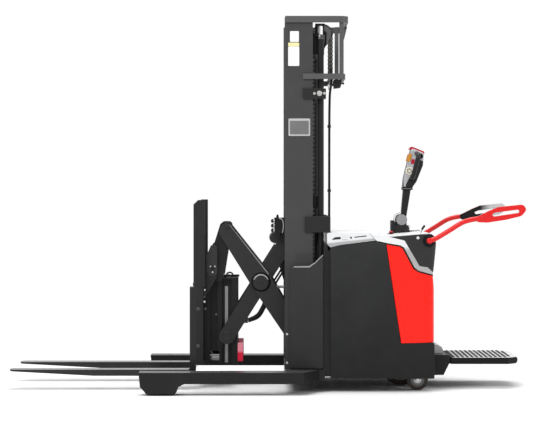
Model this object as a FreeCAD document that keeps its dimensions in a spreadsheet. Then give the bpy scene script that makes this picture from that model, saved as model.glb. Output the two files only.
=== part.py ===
import FreeCAD, Part
import Sketcher
import math
import os

# Stand-on reach stacker, millimetres. X runs from the fork tips (minus) to the operator's end
# (plus), Y across, Z up from the ground. Near side (minus Y) is the truck's left.

os.makedirs("parts", exist_ok=True)
doc = FreeCAD.newDocument("stand_on_reach_stacker")
V = FreeCAD.Vector

# alias, value or formula of other sizes, what it measures
SIZES = [
    ("mast_front", 110, "X of the outer rails' front"),
    ("mast_rear", 275, "X of the outer rails' rear"),
    ("mast_half", 380, "Y of the outer rails' outer face"),
    ("mast_foot", 133, "Z of the outer rails' foot"),
    ("mast_top", 2199, "Z of the outer rails' top"),
    ("flange", 18, "outer rail flange"),
    ("web", 14, "outer rail web"),
    ("rail_mouth", "=mast_half - 64", "Y where the outer rail opens"),
    ("inner_out", "=mast_half - 28", "Y of the inner rails' outer edge"),
    ("inner_in", "=mast_half - 84", "Y of the inner rails' inner edge"),
    ("plate_out", "=inner_in - 7", "Y of the mast carriage's side plates, outside"),
    ("plate_in", "=inner_in - 20", "Y of the mast carriage's side plates, inside"),
    ("outer_lane", "=mast_half - 146", "Y of the outer reach arms' middle"),
    ("inner_lane", "=mast_half - 175", "Y of the inner reach arms' middle"),
    ("slot_lane", "=mast_half - 192", "Y where the fork frame's channels open"),
    ("arm_thick", 24, "thickness of a reach arm"),
    ("crown_top", "=mast_top + 6", "Z of the crown"),
    ("band", 12, "thickness of the mast bands"),
    ("lift_x", 321, "X of the lift cylinders"),
    ("lift_y", "=mast_half - 50", "Y of the lift cylinders"),
    ("tube_r", 20, "lift cylinder tube radius"),
    ("rod_r", 14, "lift rod radius"),
    ("inner_front", 134, "X of the inner rails' front"),
    ("inner_rear", 251, "X of the inner rails' rear"),
    ("sheave_x", 337, "X of the chain sheaves"),
    ("sheave_z", "=mast_top - 88", "Z of the chain sheaves"),
    ("sheave_r", 43, "chain sheave radius under the chain"),
    ("chain_y", "=mast_half - 180", "Y of the lift chains"),
    ("chain_deep", 19.6, "width of the chain's plates"),
    ("chain_pitch", 25.4, "pitch of the lift chains"),
    ("hose_r", 6, "hose radius"),
    ("leg_front", -733, "X of the legs' nose"),
    ("leg_width", 120, "width of a leg"),
    ("leg_in", "=body_half + 60", "Y of the legs' inner face"),
    ("leg_out", "=leg_in + leg_width", "Y of the legs' outer face"),
    ("leg_wall", 18, "thickness of the legs' cheeks"),
    ("leg_top", 133, "Z of the legs' top"),
    ("leg_low", 68, "Z of the legs' underside"),
    ("load_r", 41, "load wheel radius"),
    ("load_x_front", -666, "X of the front load wheels"),
    ("load_x_rear", -551, "X of the rear load wheels"),
    ("load_axle_r", 12, "load wheel axle radius"),
    ("body_half", "=mast_half + 50", "Y of the body sides"),
    ("skin", 12, "thickness of the body panels"),
    ("body_front", 362, "X of the bulkhead behind the mast"),
    ("panel_front", 377, "X of the side panels' front edge"),
    ("cover_rear", 334, "X of the mast covers' rear edge"),
    ("body_rear", 985, "X of the body's rear"),
    ("skirt_low", 80, "Z of the skirts' lower edge"),
    ("floor_z", 160, "Z of the floor over the wheels"),
    ("drive_x", 816, "X of the steering axis"),
    ("drive_r", 115, "drive wheel radius"),
    ("drive_width", 75, "drive wheel width"),
    ("caster_x", 860, "X of the caster swivels"),
    ("caster_y", "=body_half - 140", "Y of the caster swivels"),
    ("caster_r", 62, "caster wheel radius"),
    ("caster_trail", 35, "caster trail"),
    ("step_rear", 1506, "X of the platform's rear edge"),
    ("step_half", 232, "half width of the platform"),
    ("step_top", 189, "Z of the platform's top"),
    ("step_pin_x", 1081, "X of the platform hinge"),
    ("step_pin_z", 183, "Z of the platform hinge"),
    ("guard_x", 954, "X of the guard arm pivots"),
    ("guard_z", 888, "Z of the guard arm pivots"),
    ("guard_y", "=body_half + 22", "Y of the guard arms' middle"),
    ("guard_r", 13.5, "guard arm tube radius"),
    ("tiller_x", 821, "X of the tiller hinge"),
    ("tiller_z", 1003, "Z of the tiller hinge"),
    ("top_pin_x", 175, "X of the reach arms' pivot on the mast carriage"),
    ("top_pin_z", 962, "Z of both upper reach pivots"),
    ("knee_x", -234.6, "X of the upper pivot on the fork frame"),
    ("foot_z", 310, "Z of both lower reach rollers"),
    ("arm_half", 46, "half width of a reach arm"),
    ("boss_r", 55, "radius of the reach arms' centre boss"),
    ("pin_r", 15, "reach pivot pin radius"),
    ("shaft_r", 17, "reach centre shaft radius"),
    ("roller_r", 24, "reach roller radius"),
    ("base_x", 235, "X of the reach cylinder's lower pin"),
    ("base_z", 300, "Z of the reach cylinder's lower pin"),
    ("chain_low", 485, "Z of the chains' lower ends"),
    ("eye_drift", 9.2, "room round the open pivot at the reach cylinder's rod eye"),
    ("tilt_drift", 0.5, "room round the open pivot at the tilt cylinder's rod eye"),
    ("eye_x", 51.2, "X of the reach cylinder's rod eye"),
    ("eye_z", 896.7, "Z of the reach cylinder's rod eye"),
    ("tilt_x", -318, "X of the fork carriage's tilt pivot"),
    ("tilt_z", 720, "Z of the fork carriage's tilt pivot"),
    ("fork_tip", -1522, "X of the fork tips"),
    ("fork_face", -452, "X of the fork shanks' front face"),
    ("fork_out", 285, "Y of the forks' outer face"),
    ("fork_width", 100, "fork width"),
    ("fork_thick", 37, "fork thickness"),
    ("blade_top", 119, "Z of the fork blades' top"),
    ("shank_top", 609, "Z of the fork shanks' top"),
    ("rest_top", 1124, "Z of the load backrest's top"),
]

sheet = doc.addObject("Spreadsheet::Sheet", "Sizes")
VALUES = {}
for row, (alias, value, note) in enumerate(SIZES, 1):
    sheet.set("A%d" % row, note)
    sheet.setAlias("B%d" % row, alias)
for row, (alias, value, note) in enumerate(SIZES, 1):
    sheet.set("B%d" % row, str(value))
doc.recompute()
for alias, value, note in SIZES:
    VALUES[alias] = float(getattr(sheet, alias))


class Dim:
    """A length with its value and the sheet expression that gives it."""

    def __init__(self, value, text):
        self.value = float(value)
        self.text = text

    def __add__(self, other):
        other = dim(other)
        return Dim(self.value + other.value, "(%s + %s)" % (self.text, other.text))

    def __radd__(self, other):
        return dim(other) + self

    def __sub__(self, other):
        other = dim(other)
        return Dim(self.value - other.value, "(%s - %s)" % (self.text, other.text))

    def __rsub__(self, other):
        return dim(other) - self

    def __mul__(self, factor):
        factor = dim(factor)
        return Dim(self.value * factor.value, "(%s * %s)" % (self.text, factor.text))

    __rmul__ = __mul__

    def __neg__(self):
        return self * -1


def dim(x):
    return x if isinstance(x, Dim) else Dim(x, "(%.6g)" % x)


class Names:
    """Gives each size of the sheet as an attribute."""

    def __getattr__(self, alias):
        return Dim(VALUES[alias], "Sizes." + alias)


d = Names()
NODES = []
used = {}


def unique(name):
    used[name] = used.get(name, 0) + 1
    return "%s_p%02d" % (name, used[name])


def bind(obj, path, length):
    obj.setExpression(path, dim(length).text)


def place(obj, x=0, y=0, z=0):
    for axis, length in zip("xyz", (x, y, z)):
        bind(obj, "Placement.Base." + axis, length)


def constrain(sk, kind, geo, point, length):
    index = sk.addConstraint(Sketcher.Constraint(kind, -1, 1, geo, point, length.value))
    sk.setExpression("Constraints[%d]" % index, length.text)


def add_circle(sk, u, v, r):
    u, v, r = dim(u), dim(v), dim(r)
    geo = sk.addGeometry(Part.Circle(V(u.value, v.value, 0), V(0, 0, 1), r.value))
    constrain(sk, "DistanceX", geo, 3, u)
    constrain(sk, "DistanceY", geo, 3, v)
    index = sk.addConstraint(Sketcher.Constraint("Radius", geo, r.value))
    sk.setExpression("Constraints[%d]" % index, r.text)


def add_polygon(sk, corners):
    """Closed outline; a corner is (u, v) or (u, v, radius) with the radius as a tangent arc."""
    corners = [tuple(dim(c) for c in corner) for corner in corners]
    count = len(corners)
    places = [V(c[0].value, c[1].value, 0) for c in corners]
    arrive = list(places)
    leave = list(places)
    middle = [None] * count
    for i, corner in enumerate(corners):
        if len(corner) < 3:
            continue
        back = (places[i - 1] - places[i]).normalize()
        ahead = (places[(i + 1) % count] - places[i]).normalize()
        half = math.acos(max(-1, min(1, back.dot(ahead)))) / 2
        radius = corner[2].value
        run = radius / math.tan(half)
        arrive[i] = places[i] + back * run
        leave[i] = places[i] + ahead * run
        bisector = (back + ahead).normalize()
        middle[i] = places[i] + bisector * (radius / math.sin(half) - radius)
    lines = []
    for i in range(count):
        segment = Part.LineSegment(leave[i], arrive[(i + 1) % count])
        lines.append(sk.addGeometry(segment))
    for i, corner in enumerate(corners):
        before, after = lines[i - 1], lines[i]
        if middle[i] is None:
            sk.addConstraint(Sketcher.Constraint("Coincident", before, 2, after, 1))
            constrain(sk, "DistanceX", after, 1, corner[0])
            constrain(sk, "DistanceY", after, 1, corner[1])
            continue
        arc = sk.addGeometry(Part.Arc(arrive[i], middle[i], leave[i]))
        start = 1 if sk.getPoint(arc, 1).distanceToPoint(arrive[i]) < 1e-6 else 2
        sk.addConstraint(Sketcher.Constraint("Tangent", before, 2, arc, start))
        sk.addConstraint(Sketcher.Constraint("Tangent", after, 1, arc, 3 - start))
        index = sk.addConstraint(Sketcher.Constraint("Radius", arc, corner[2].value))
        sk.setExpression("Constraints[%d]" % index, corner[2].text)
        point = sk.addGeometry(Part.Point(places[i]), True)
        constrain(sk, "DistanceX", point, 1, corner[0])
        constrain(sk, "DistanceY", point, 1, corner[1])
        sk.addConstraint(Sketcher.Constraint("PointOnObject", point, 1, before))
        sk.addConstraint(Sketcher.Constraint("PointOnObject", point, 1, after))


def base_plane(body, role):
    return [f for f in body.Origin.OriginFeatures if f.Role == role][0]


def plate(name, plane, outlines, low, high):
    """Body padded from sketch outlines on a base plane, between two offsets along its normal.

    An outline is a list of corners, or (u, v, radius) for a circle; the first is the outer one.
    """
    low, high = dim(low), dim(high)
    if low.value > high.value:
        low, high = high, low
    body = doc.addObject("PartDesign::Body", unique(name))
    sk = body.newObject("Sketcher::SketchObject", unique(name + "_sketch"))
    sk.AttachmentSupport = [(base_plane(body, plane + "_Plane"), "")]
    sk.MapMode = "FlatFace"
    offset = -high if plane == "XZ" else low
    sk.setExpression("AttachmentOffset.Base.z", offset.text)
    for outline in outlines:
        if isinstance(outline, tuple):
            add_circle(sk, *outline)
        else:
            add_polygon(sk, outline)
    pad = body.newObject("PartDesign::Pad", unique(name + "_pad"))
    pad.Profile = sk
    bind(pad, "Length", high - low)
    sk.Visibility = False
    return body


def turned(name, x, y, z, profile):
    """Solid turned about a line along Y through (x, z); the profile is (radius, Y from y)."""
    body = doc.addObject("PartDesign::Body", unique(name))
    sk = body.newObject("Sketcher::SketchObject", unique(name + "_sketch"))
    sk.AttachmentSupport = [(base_plane(body, "XY_Plane"), "")]
    sk.MapMode = "FlatFace"
    for axis, length in zip("xyz", (x, y, z)):
        sk.setExpression("AttachmentOffset.Base." + axis, dim(length).text)
    add_polygon(sk, profile)
    spin = body.newObject("PartDesign::Revolution", unique(name + "_spin"))
    spin.Profile = sk
    spin.ReferenceAxis = (sk, ["V_Axis"])
    spin.Angle = 360
    sk.Visibility = False
    return body


def rounded(body, radius, low, high):
    """Rounds the rims of a pad's two faces across Y, at low and high."""
    doc.recompute()
    pad = body.Tip
    rims = []
    for number, edge in enumerate(pad.Shape.Edges, 1):
        for level in (dim(low).value, dim(high).value):
            if all(abs(vertex.Y - level) < 0.01 for vertex in edge.Vertexes):
                rims.append("Edge%d" % number)
    fillet = body.newObject("PartDesign::Fillet", unique(body.Name + "_round"))
    fillet.Base = (pad, rims)
    bind(fillet, "Radius", radius)
    body.Tip = fillet
    return body


def box(name, x0, x1, y0, y1, z0, z1):
    block = doc.addObject("Part::Box", unique(name))
    spans = []
    for low, high in ((x0, x1), (y0, y1), (z0, z1)):
        low, high = dim(low), dim(high)
        if low.value > high.value:
            low, high = high, low
        spans.append((low, high))
    for side, (low, high) in zip(("Length", "Width", "Height"), spans):
        bind(block, side, high - low)
    place(block, *(low for low, high in spans))
    return block


TURNS = {
    "X": FreeCAD.Rotation(V(0, 1, 0), 90),
    "Y": FreeCAD.Rotation(V(1, 0, 0), -90),
    "Z": FreeCAD.Rotation(),
}


def rod(name, axis, u, v, r, low, high):
    """Cylinder along an axis; u and v are the other two coordinates in alphabetical order."""
    low, high = dim(low), dim(high)
    if low.value > high.value:
        low, high = high, low
    post = doc.addObject("Part::Cylinder", unique(name))
    post.Placement = FreeCAD.Placement(V(), TURNS[axis])
    bind(post, "Radius", r)
    bind(post, "Height", high - low)
    where = {"X": (low, u, v), "Y": (u, low, v), "Z": (u, v, low)}[axis]
    place(post, *where)
    return post


def join(name, pieces):
    if len(pieces) == 1:
        return pieces[0]
    fused = doc.addObject("Part::MultiFuse", unique(name))
    fused.Shapes = pieces
    return fused


def cut(name, base, tools):
    result = doc.addObject("Part::Cut", unique(name))
    result.Base = base
    result.Tool = join(name + "_tool", tools)
    return result


def common(name, one, two):
    result = doc.addObject("Part::MultiCommon", unique(name))
    result.Shapes = [one, two]
    return result


def node(label, obj):
    obj.Label = label
    NODES.append(obj)


def bent_wire(points, radii):
    """Wire of straight runs joined by tangent arcs; one radius per inner point."""
    edges = []
    start = points[0]
    for i in range(1, len(points) - 1):
        back = (points[i - 1] - points[i]).normalize()
        ahead = (points[i + 1] - points[i]).normalize()
        half = math.acos(max(-1, min(1, back.dot(ahead)))) / 2
        run = radii[i - 1] / math.tan(half)
        first = points[i] + back * run
        last = points[i] + ahead * run
        bisector = (back + ahead).normalize()
        middle = points[i] + bisector * (radii[i - 1] / math.sin(half) - radii[i - 1])
        edges.append(Part.LineSegment(start, first).toShape())
        edges.append(Part.Arc(first, middle, last).toShape())
        start = last
    edges.append(Part.LineSegment(start, points[-1]).toShape())
    return Part.Wire(edges)


def swept_tube(name, points, radii, r):
    """Round tube along a bent wire."""
    wire = bent_wire([V(*p) for p in points], radii)
    first = V(*points[0])
    normal = V(*points[1]) - first
    ring = Part.Wire(Part.Circle(first, normal, r).toShape())
    shape = wire.makePipe(Part.Face(ring))
    feature = doc.addObject("Part::Feature", unique(name))
    feature.Shape = shape
    return feature


# name, sign of Y
SIDES = [("left", -1), ("right", 1)]


def legs():
    front, out, inn, wall = d.leg_front, d.leg_out, d.leg_in, d.leg_wall
    for side, s in SIDES:
        root = s * (d.body_half + 2)
        beam = plate("leg_beam", "XY", [[
            (-480, s * inn), (-480, s * out), (217, s * out), (310, root),
            (112, root), (112, s * inn)]], d.leg_low, d.leg_top)
        outline = [
            (front, d.leg_top), (front + 8, 51), (front + 48, 8, 8), (-524, 12, 8), (-502, 52),
            (-470, d.leg_low), (-470, d.leg_top)]
        cheeks = [
            plate("leg_cheek", "XZ", [outline], s * (out - wall), s * out),
            plate("leg_cheek", "XZ", [outline], s * inn, s * (inn + wall))]
        top = box("leg_lid", front, -470, s * inn, s * out, d.leg_top - 12, d.leg_top)
        nose = plate("leg_nose", "XZ", [[
            (front, d.leg_top), (front + 5, 78), (front + 19, 84), (front + 19, d.leg_top)]],
            s * inn, s * out)
        axles = [rod("leg_axle", "Y", x, d.load_r, d.load_axle_r, s * inn, s * out)
                 for x in (d.load_x_front, d.load_x_rear)]
        node("leg_" + side, join("leg", [beam, top, nose] + cheeks + axles))


def load_wheels():
    for place_name, x in (("front", d.load_x_front), ("rear", d.load_x_rear)):
        for side, s in SIDES:
            middle = s * (d.leg_out + d.leg_in) * 0.5
            reach = d.leg_width * 0.5 - d.leg_wall - 6
            wheel = plate("load_wheel", "XZ", [
                (x, d.load_r, d.load_r), (x, d.load_r, d.load_axle_r + 0.06)],
                middle - reach, middle + reach)
            node("load_wheel_%s_%s" % (place_name, side), wheel)


def chassis():
    half = d.body_half - d.skin
    front = box("cross_box", 112, 345, -half - d.skin - 2, half + d.skin + 2, d.leg_low, d.leg_top)
    tray = box("tray", 345, 640, -half, half, 95, 107)
    step = box("tray_wall", 628, 640, -half, half, 95, d.floor_z + 12)
    back = plate("floor", "XY", [
        [(628, -half), (d.body_rear, -half), (d.body_rear, half), (628, half)],
        (d.drive_x, 0, 128)], d.floor_z, d.floor_z + 12)
    tower = plate("drive_tower", "XY", [(d.drive_x, 0, 142), (d.drive_x, 0, 130)],
                  d.floor_z + 12, 252)
    deck = plate("drive_deck", "XY", [(d.drive_x, 0, 142), (d.drive_x, 0, 70)], 252, 264)
    sills = [box("sill", 345, d.body_rear, s * (half - 12), s * half, 92, d.floor_z + 12)
             for side, s in SIDES]
    lid_front, lid_rear = 861.6, 886.2
    wall = box("bulkhead", d.body_front - 12, d.body_front, -half, half, 95, lid_front)
    posts = [box("post", 628, 640, s * (half - 60), s * half, d.floor_z, lid_rear)
             for side, s in SIDES]
    jambs = [plate("jamb", "XZ", [[
        (d.cover_rear, 95), (382, 95), (382, 843), (d.cover_rear, 800)]],
        s * (half - 12), s * half) for side, s in SIDES]
    node("chassis_frame", join("chassis", [
        front, tray, step, back, tower, deck, wall] + sills + posts + jambs))


def battery():
    node("battery", box("battery", 383, 598, 35 - d.body_half, d.body_half - 35, 107, 737))


def body_panels():
    half = d.body_half
    low = d.skirt_low
    rear = d.body_rear
    wing = half - 100
    for side, s in SIDES:
        inner, outer = s * (half - d.skin), s * half
        panel = plate("side_panel", "XZ", [[
            (d.panel_front, low), (rear, low), (rear, 290), (788, 285), (701, 870), (641, 884),
            (432, 859), (d.panel_front, 845.4)]], inner, outer)
        node("side_panel_" + side, panel)
        face = plate("red_face", "XZ", [[
            (704, 865), (782, 851), (799.5, 839), (861, 722), (889, 703), (rear - 9, 680),
            (rear, 600), (rear, 292), (790.5, 287)]], s * wing, outer)
        wrap = plate("red_wrap", "XY", [[
            (690, outer), (rear, outer, 46), (rear, s * wing), (rear - 12, s * wing),
            (rear - 12, inner, 34), (690, inner)]], 280, 880)
        node("red_panel_" + side, common("red_panel", face, wrap))
        cover = plate("mast_cover", "XZ", [[
            (140, 138), (d.cover_rear, 138), (d.cover_rear, 807), (289, 762), (254, 738),
            (168, 736), (140, 724)]],
            s * d.mast_half, outer)
        node("mast_cover_" + side, cover)
    lid = plate("battery_lid", "XZ", [[
        (356, 932, 10), (604, 932), (640, 888), (432, 862), (376, 848), (358, 866)]], -half, half)
    grips = []
    for side, s in SIDES:
        grips.append(plate("grip", "XZ", [[
            (383, 891), (436, 896), (436, 910, 4), (400, 907, 8)]], s * (half - 10), s * (half + 1)))
        grips.append(plate("slit", "XZ", [[
            (517, 904), (588, 912), (588, 918), (517, 910)]], s * (half - 8), s * (half + 1)))
    node("battery_lid", cut("battery_lid", lid, grips))
    band_top = plate("band_top", "XZ", [[
        (606, 931), (702, 914), (702, 874), (643, 888)]], -half, half)
    bands = [plate("band_side", "XZ", [[
        (702, 914), (810, 888), (898, 739), (944, 732), (976, 703), (974, 688), (891, 712),
        (868, 730), (806, 848), (784, 860), (702, 874)]], s * (half - d.skin), s * half)
        for side, s in SIDES]
    node("body_trim", join("body_trim", [band_top] + bands))
    hump = plate("console", "XZ", [[
        (703, 914), (781, 922), (911, 931), (968, 931, 24), (997, 873, 8), (978, 705), (944, 733),
        (899, 741), (811, 889)]], -half, half)
    plan = plate("console_plan", "XY", [[
        (690, -half), (998, -half, 40), (998, half, 40), (690, half)]], 700, 940)
    seat = rod("tiller_seat", "Z", d.drive_x, 0, 60, 915, 932)
    pins = [rod("guard_pin", "Y", d.guard_x, d.guard_z, 12, s * (half - 20), s * (d.guard_y + 14))
            for side, s in SIDES]
    stop_seat = rod("stop_seat", "Z", 742, 180 - half, 25, 900, 920.4)
    under = plate("console_under", "XZ", [[
        (703, 912), (811, 888), (899, 740), (944, 733), (977, 706), (974, 690), (884, 700),
        (794, 832), (780, 844), (703, 860)]], -half + d.skin, half - d.skin)
    body = common("console", hump, plan)
    node("console", join("console", [body, under, seat, stop_seat] + pins))
    node("rear_panel", box("rear_panel", rear - 12, rear, -wing, wing, d.floor_z + 12, 688))


def platform():
    pin_x, pin_z, half, top = d.step_pin_x, d.step_pin_z, d.step_half, d.step_top
    block = box("bracket", d.body_rear, 1058, -206, 206, 81, 202)
    ears = [plate("ear", "XZ", [[
        (d.body_rear, 81), (1058, 81), (pin_x + 15, 160, 10), (pin_x + 15, 202, 14),
        (d.body_rear, 202)]], s * 206, s * 228) for side, s in SIDES]
    pin = rod("step_pin", "Y", pin_x, pin_z, 9, -228, 228)
    lug = box("bracket_lug", d.body_rear - 38, d.body_rear, -206, 206, 130, d.floor_z)
    node("platform_bracket", join("bracket", [block, pin, lug] + ears))
    buffer = plate("step_buffer", "XZ", [[
        (d.body_rear + 1, 202), (1062, 202), (1062, 236, 16), (1030, 252, 20),
        (d.body_rear + 1, 252)]], -110, 110)
    node("step_buffer", buffer)
    notch = 202
    tray = plate("step_tray", "XY", [[
        (pin_x - 16, -notch), (1102, -notch), (1102, -half), (d.step_rear - 62, -half),
        (d.step_rear, -half + 62), (d.step_rear, half - 62), (d.step_rear - 62, half),
        (1102, half), (1102, notch), (pin_x - 16, notch)]], top - 42, top - 3)
    side = plate("step_side", "XZ", [[
        (pin_x - 20, top - 42), (d.step_rear, top - 42, 18), (d.step_rear, top - 3, 16),
        (pin_x - 20, top - 3)]], -half, half)
    ribs = [box("step_rib", 1112 + 28 * i, 1126 + 28 * i, 12 - half, half - 12, top - 3, top)
            for i in range(12)]
    ribs.append(box("step_rib", 1448, 1462, 60 - half, half - 60, top - 3, top))
    bore = rod("step_bore", "Y", pin_x, pin_z, 9.06, -240, 240)
    node("platform", cut("platform", join("platform", [common("step_tray", tray, side)] + ribs), [bore]))


def guard_arms():
    gx, gz, gy, r = (d.guard_x, d.guard_z, d.guard_y, d.guard_r)
    paddle_half = r - 1.5
    for side, s in SIDES:
        y = s * gy.value
        tube = swept_tube("guard_tube", [
            (gx.value + dx, y, gz.value + dz) for dx, dz in
            ((0, 0), (35, 12), (184, 102), (282, 126), (302, 133))],
            [30, 60, 40], r.value)
        paddle = plate("guard_paddle", "XZ", [
            [(gx + dx, gz + dz, round_r) for dx, dz, round_r in (
                (270, 136, 6), (346, 174, 30), (398, 196, 40), (542, 211, 26), (568, 184, 22),
                (536, 144, 40), (446, 122, 60), (334, 105, 40), (278, 108, 10))],
            [(gx + dx, gz + dz, round_r) for dx, dz, round_r in (
                (356, 148, 10), (374, 137, 10), (520, 160, 10), (531, 173, 10),
                (517, 185, 10), (374, 165, 10))]],
            s * (gy - paddle_half), s * (gy + paddle_half))
        pad = plate("guard_pad", "XZ", [
            [(gx + dx, gz + dz, round_r) for dx, dz, round_r in (
                (284, 130, 4), (346, 164, 20), (398, 184, 30), (498, 197, 6),
                (498, 183, 6), (398, 168, 30), (346, 148, 20), (290, 116, 4))]],
            s * (gy - paddle_half - 8), s * (gy - paddle_half + 1))
        boss = plate("guard_boss", "XZ", [(gx, gz, 29)], s * (d.body_half + 0.4), s * (gy + 13))
        bore = rod("guard_bore", "Y", gx, gz, 12.06, s * (d.body_half - 10), s * (gy + 40))
        arm = cut("guard_arm", join("guard_arm", [tube, paddle, pad, boss]), [bore])
        node("guard_arm_" + side, arm)


def tiller():
    x, z = d.tiller_x, d.tiller_z
    turret = rod("turret", "Z", d.drive_x, 0, 56, 932.4, 968)
    yokes = [box("yoke", x - 30, x + 30, s * 40, s * 54, 960, z) for side, s in SIDES]
    discs = [rod("hub_disc", "Y", x, z, 33, s * 40, s * 58) for side, s in SIDES]
    pin = rod("tiller_pin", "Y", x, z, 10, -50, 50)
    node("tiller_base", join("tiller_base", [turret, pin] + yokes + discs))
    hub = rod("tiller_hub", "Y", x, z, 29, -38, 38)
    stalk = plate("tiller_stalk", "XZ", [[
        (x - 4, z), (x + 26, z - 10), (x + 57, 1185), (x + 11, 1185), (x - 2, 1037)]], -24, 24)
    collar = box("tiller_collar", x + 4, x + 68, -34, 34, 1183, 1201)
    head = plate("tiller_head", "XZ", [[
        (828, 1200), (888, 1200), (912, 1234), (951, 1332, 20), (957, 1408, 18), (880, 1438, 14),
        (862, 1371, 30), (833, 1254, 30)]], -52, 52)
    rounded(head, 12, -52, 52)
    loops = [swept_tube("tiller_grip", [
        (880, s * 40, 1250), (884, s * 125, 1262), (918, s * 135, 1395), (912, s * 40, 1405)],
        [26, 26], 14) for side, s in SIDES]
    bore = rod("tiller_bore", "Y", x, z, 10.06, -60, 60)
    arm = cut("tiller_arm", join("tiller_arm", [hub, stalk, collar, head] + loops), [bore])
    node("tiller_arm", arm)


def controls():
    stop = rod("stop_button", "Z", 742, 180 - d.body_half, 22, 920.4, 945)
    stick = plate("stick", "XZ", [[(944, 931), (966, 931), (972, 969, 6), (956, 971, 6)]],
                  130 - d.body_half, 150 - d.body_half)
    node("controls", join("controls", [stop, stick]))


def drive():
    x, r = d.drive_x, d.drive_r
    ring = rod("turntable", "Z", x, 0, 120, 236, 251.6)
    neck = rod("drive_neck", "Z", x, 0, 65, 251, 270)
    motor = rod("motor", "Z", x, 0, 88, 269, 480)
    leg = box("gear_leg", x - 45, x + 45, 45, 85, 80, 236)
    hub = rod("gear_hub", "Y", x, r, 55, 45, 85)
    axle = rod("drive_axle", "Y", x, r, 18, -36, 60)
    node("drive_unit", join("drive_unit", [ring, neck, motor, leg, hub, axle]))
    wheel = plate("drive_wheel", "XZ", [(x, r, r), (x, r, 18.06)], -37.5, 37.5)
    node("drive_wheel", wheel)
    for side, s in SIDES:
        cx, cy = d.caster_x, s * d.caster_y
        ax = cx + d.caster_trail
        top = rod("caster_plate", "Z", cx, cy, 45, 143, 159.6)
        cheeks = [plate("caster_cheek", "XZ", [[
            (cx - 34, 145), (cx - 30, 128), (ax - 14, 60, 10), (ax, 48, 12), (ax + 16, 60, 10),
            (cx + 42, 128), (cx + 38, 145)]], cy + t * 27, cy + t * 33) for t in (-1, 1)]
        bridge = box("caster_bridge", cx - 34, cx + 38, cy - 33, cy + 33, 131, 145)
        axle = rod("caster_axle", "Y", ax, d.caster_r, 8, cy - 33, cy + 33)
        node("caster_fork_" + side, join("caster_fork", [top, bridge, axle] + cheeks))
        wheel = plate("caster_wheel", "XZ", [
            (ax, d.caster_r, d.caster_r), (ax, d.caster_r, 8.06)], cy - 22, cy + 22)
        node("caster_wheel_" + side, wheel)


def mast_band(name, x0, x1, z0, z1, r):
    """Strap round the back of both outer rails."""
    half, out = d.mast_half, d.mast_half + d.band
    inner_r = max(r - 12, 2)
    return plate(name, "XY", [[
        (x0, -out), (x1, -out, r), (x1, out, r), (x0, out), (x0, half),
        (x1 - d.band, half, inner_r), (x1 - d.band, -half, inner_r), (x0, -half)]], z0, z1)


def mast():
    front, rear, half, thick = d.mast_front, d.mast_rear, d.mast_half, d.flange
    top = d.crown_top
    for side, s in SIDES:
        rail = plate("mast_rail", "XY", [[
            (front, s * half), (rear, s * half), (rear, s * d.rail_mouth),
            (rear - thick, s * d.rail_mouth), (rear - thick, s * (half - d.web)),
            (front + thick, s * (half - d.web)), (front + thick, s * d.rail_mouth),
            (front, s * d.rail_mouth)]], d.mast_foot, d.mast_top)
        node("mast_rail_" + side, rail)
    posts = [box("guard_post", 431, 456, s * (half - 25), s * half, top - 370, top)
             for side, s in SIDES]
    tab = plate("crown_tab", "XZ", [[
        (483, top - 23), (492, top - 33), (474, top - 107), (462, top - 107),
        (470, top - 37)]], -30, 30)
    low = top - 370
    node("mast_crown", join("mast_crown", [
        mast_band("crown", 112, 484, top - 38, top, 60),
        mast_band("lower_band", 217, 467, low, low + 32, 50), tab] + posts))
    pieces = []
    for side, s in SIDES:
        pieces.append(box("clamp_plate", 217, 352, s * half, s * (half + d.band), low - 116, low - 56))
        grip = box("clamp_block", 290, 352, s * (d.lift_y - 18), s * half, low - 116, low - 56)
        hole = rod("clamp_hole", "Z", d.lift_x, s * d.lift_y, d.tube_r, low - 130, low - 40)
        pieces.append(cut("clamp", grip, [hole]))
        pieces.append(box("chain_anchor", 382, 398, s * d.chain_y - 14, s * d.chain_y + 14,
                          low + 20, low + 77))
    pieces.append(box("anchor_bar", 382, 398, -half, half, low, low + 32))
    node("mast_frame", join("mast_frame", pieces))
    node("mast_band", mast_band("mid_band", 228, 379, 934, 1028, 14))
    tubes = []
    for side, s in SIDES:
        outer = rod("lift_tube", "Z", d.lift_x, s * d.lift_y, d.tube_r, d.mast_foot, top - 106)
        inner = rod("lift_bore", "Z", d.lift_x, s * d.lift_y, d.rod_r + 0.08, 150, top - 95)
        tubes.append(cut("lift_tube", outer, [inner]))
    node("lift_tubes", join("lift_tubes", tubes))


def linked(name, x, z0, z1, y0, y1):
    """Upright chain strand whose two edges swell at each pin and narrow between."""
    swell, waist = d.chain_deep * 0.5, d.chain_deep * 0.5 - 3.5
    count = int((z1.value - z0.value) / d.chain_pitch.value)
    levels = [(z0, waist)]
    for i in range(count):
        pin = z0 + d.chain_pitch * (i + 0.5)
        levels += [(pin - 5, swell), (pin + 5, swell), (pin + d.chain_pitch * 0.5, waist)]
    levels[-1] = (z1, waist)
    right = [(x + half, z) for z, half in levels]
    left = [(x - half, z) for z, half in reversed(levels)]
    return plate(name, "XZ", [right + left], y0, y1)


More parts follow.
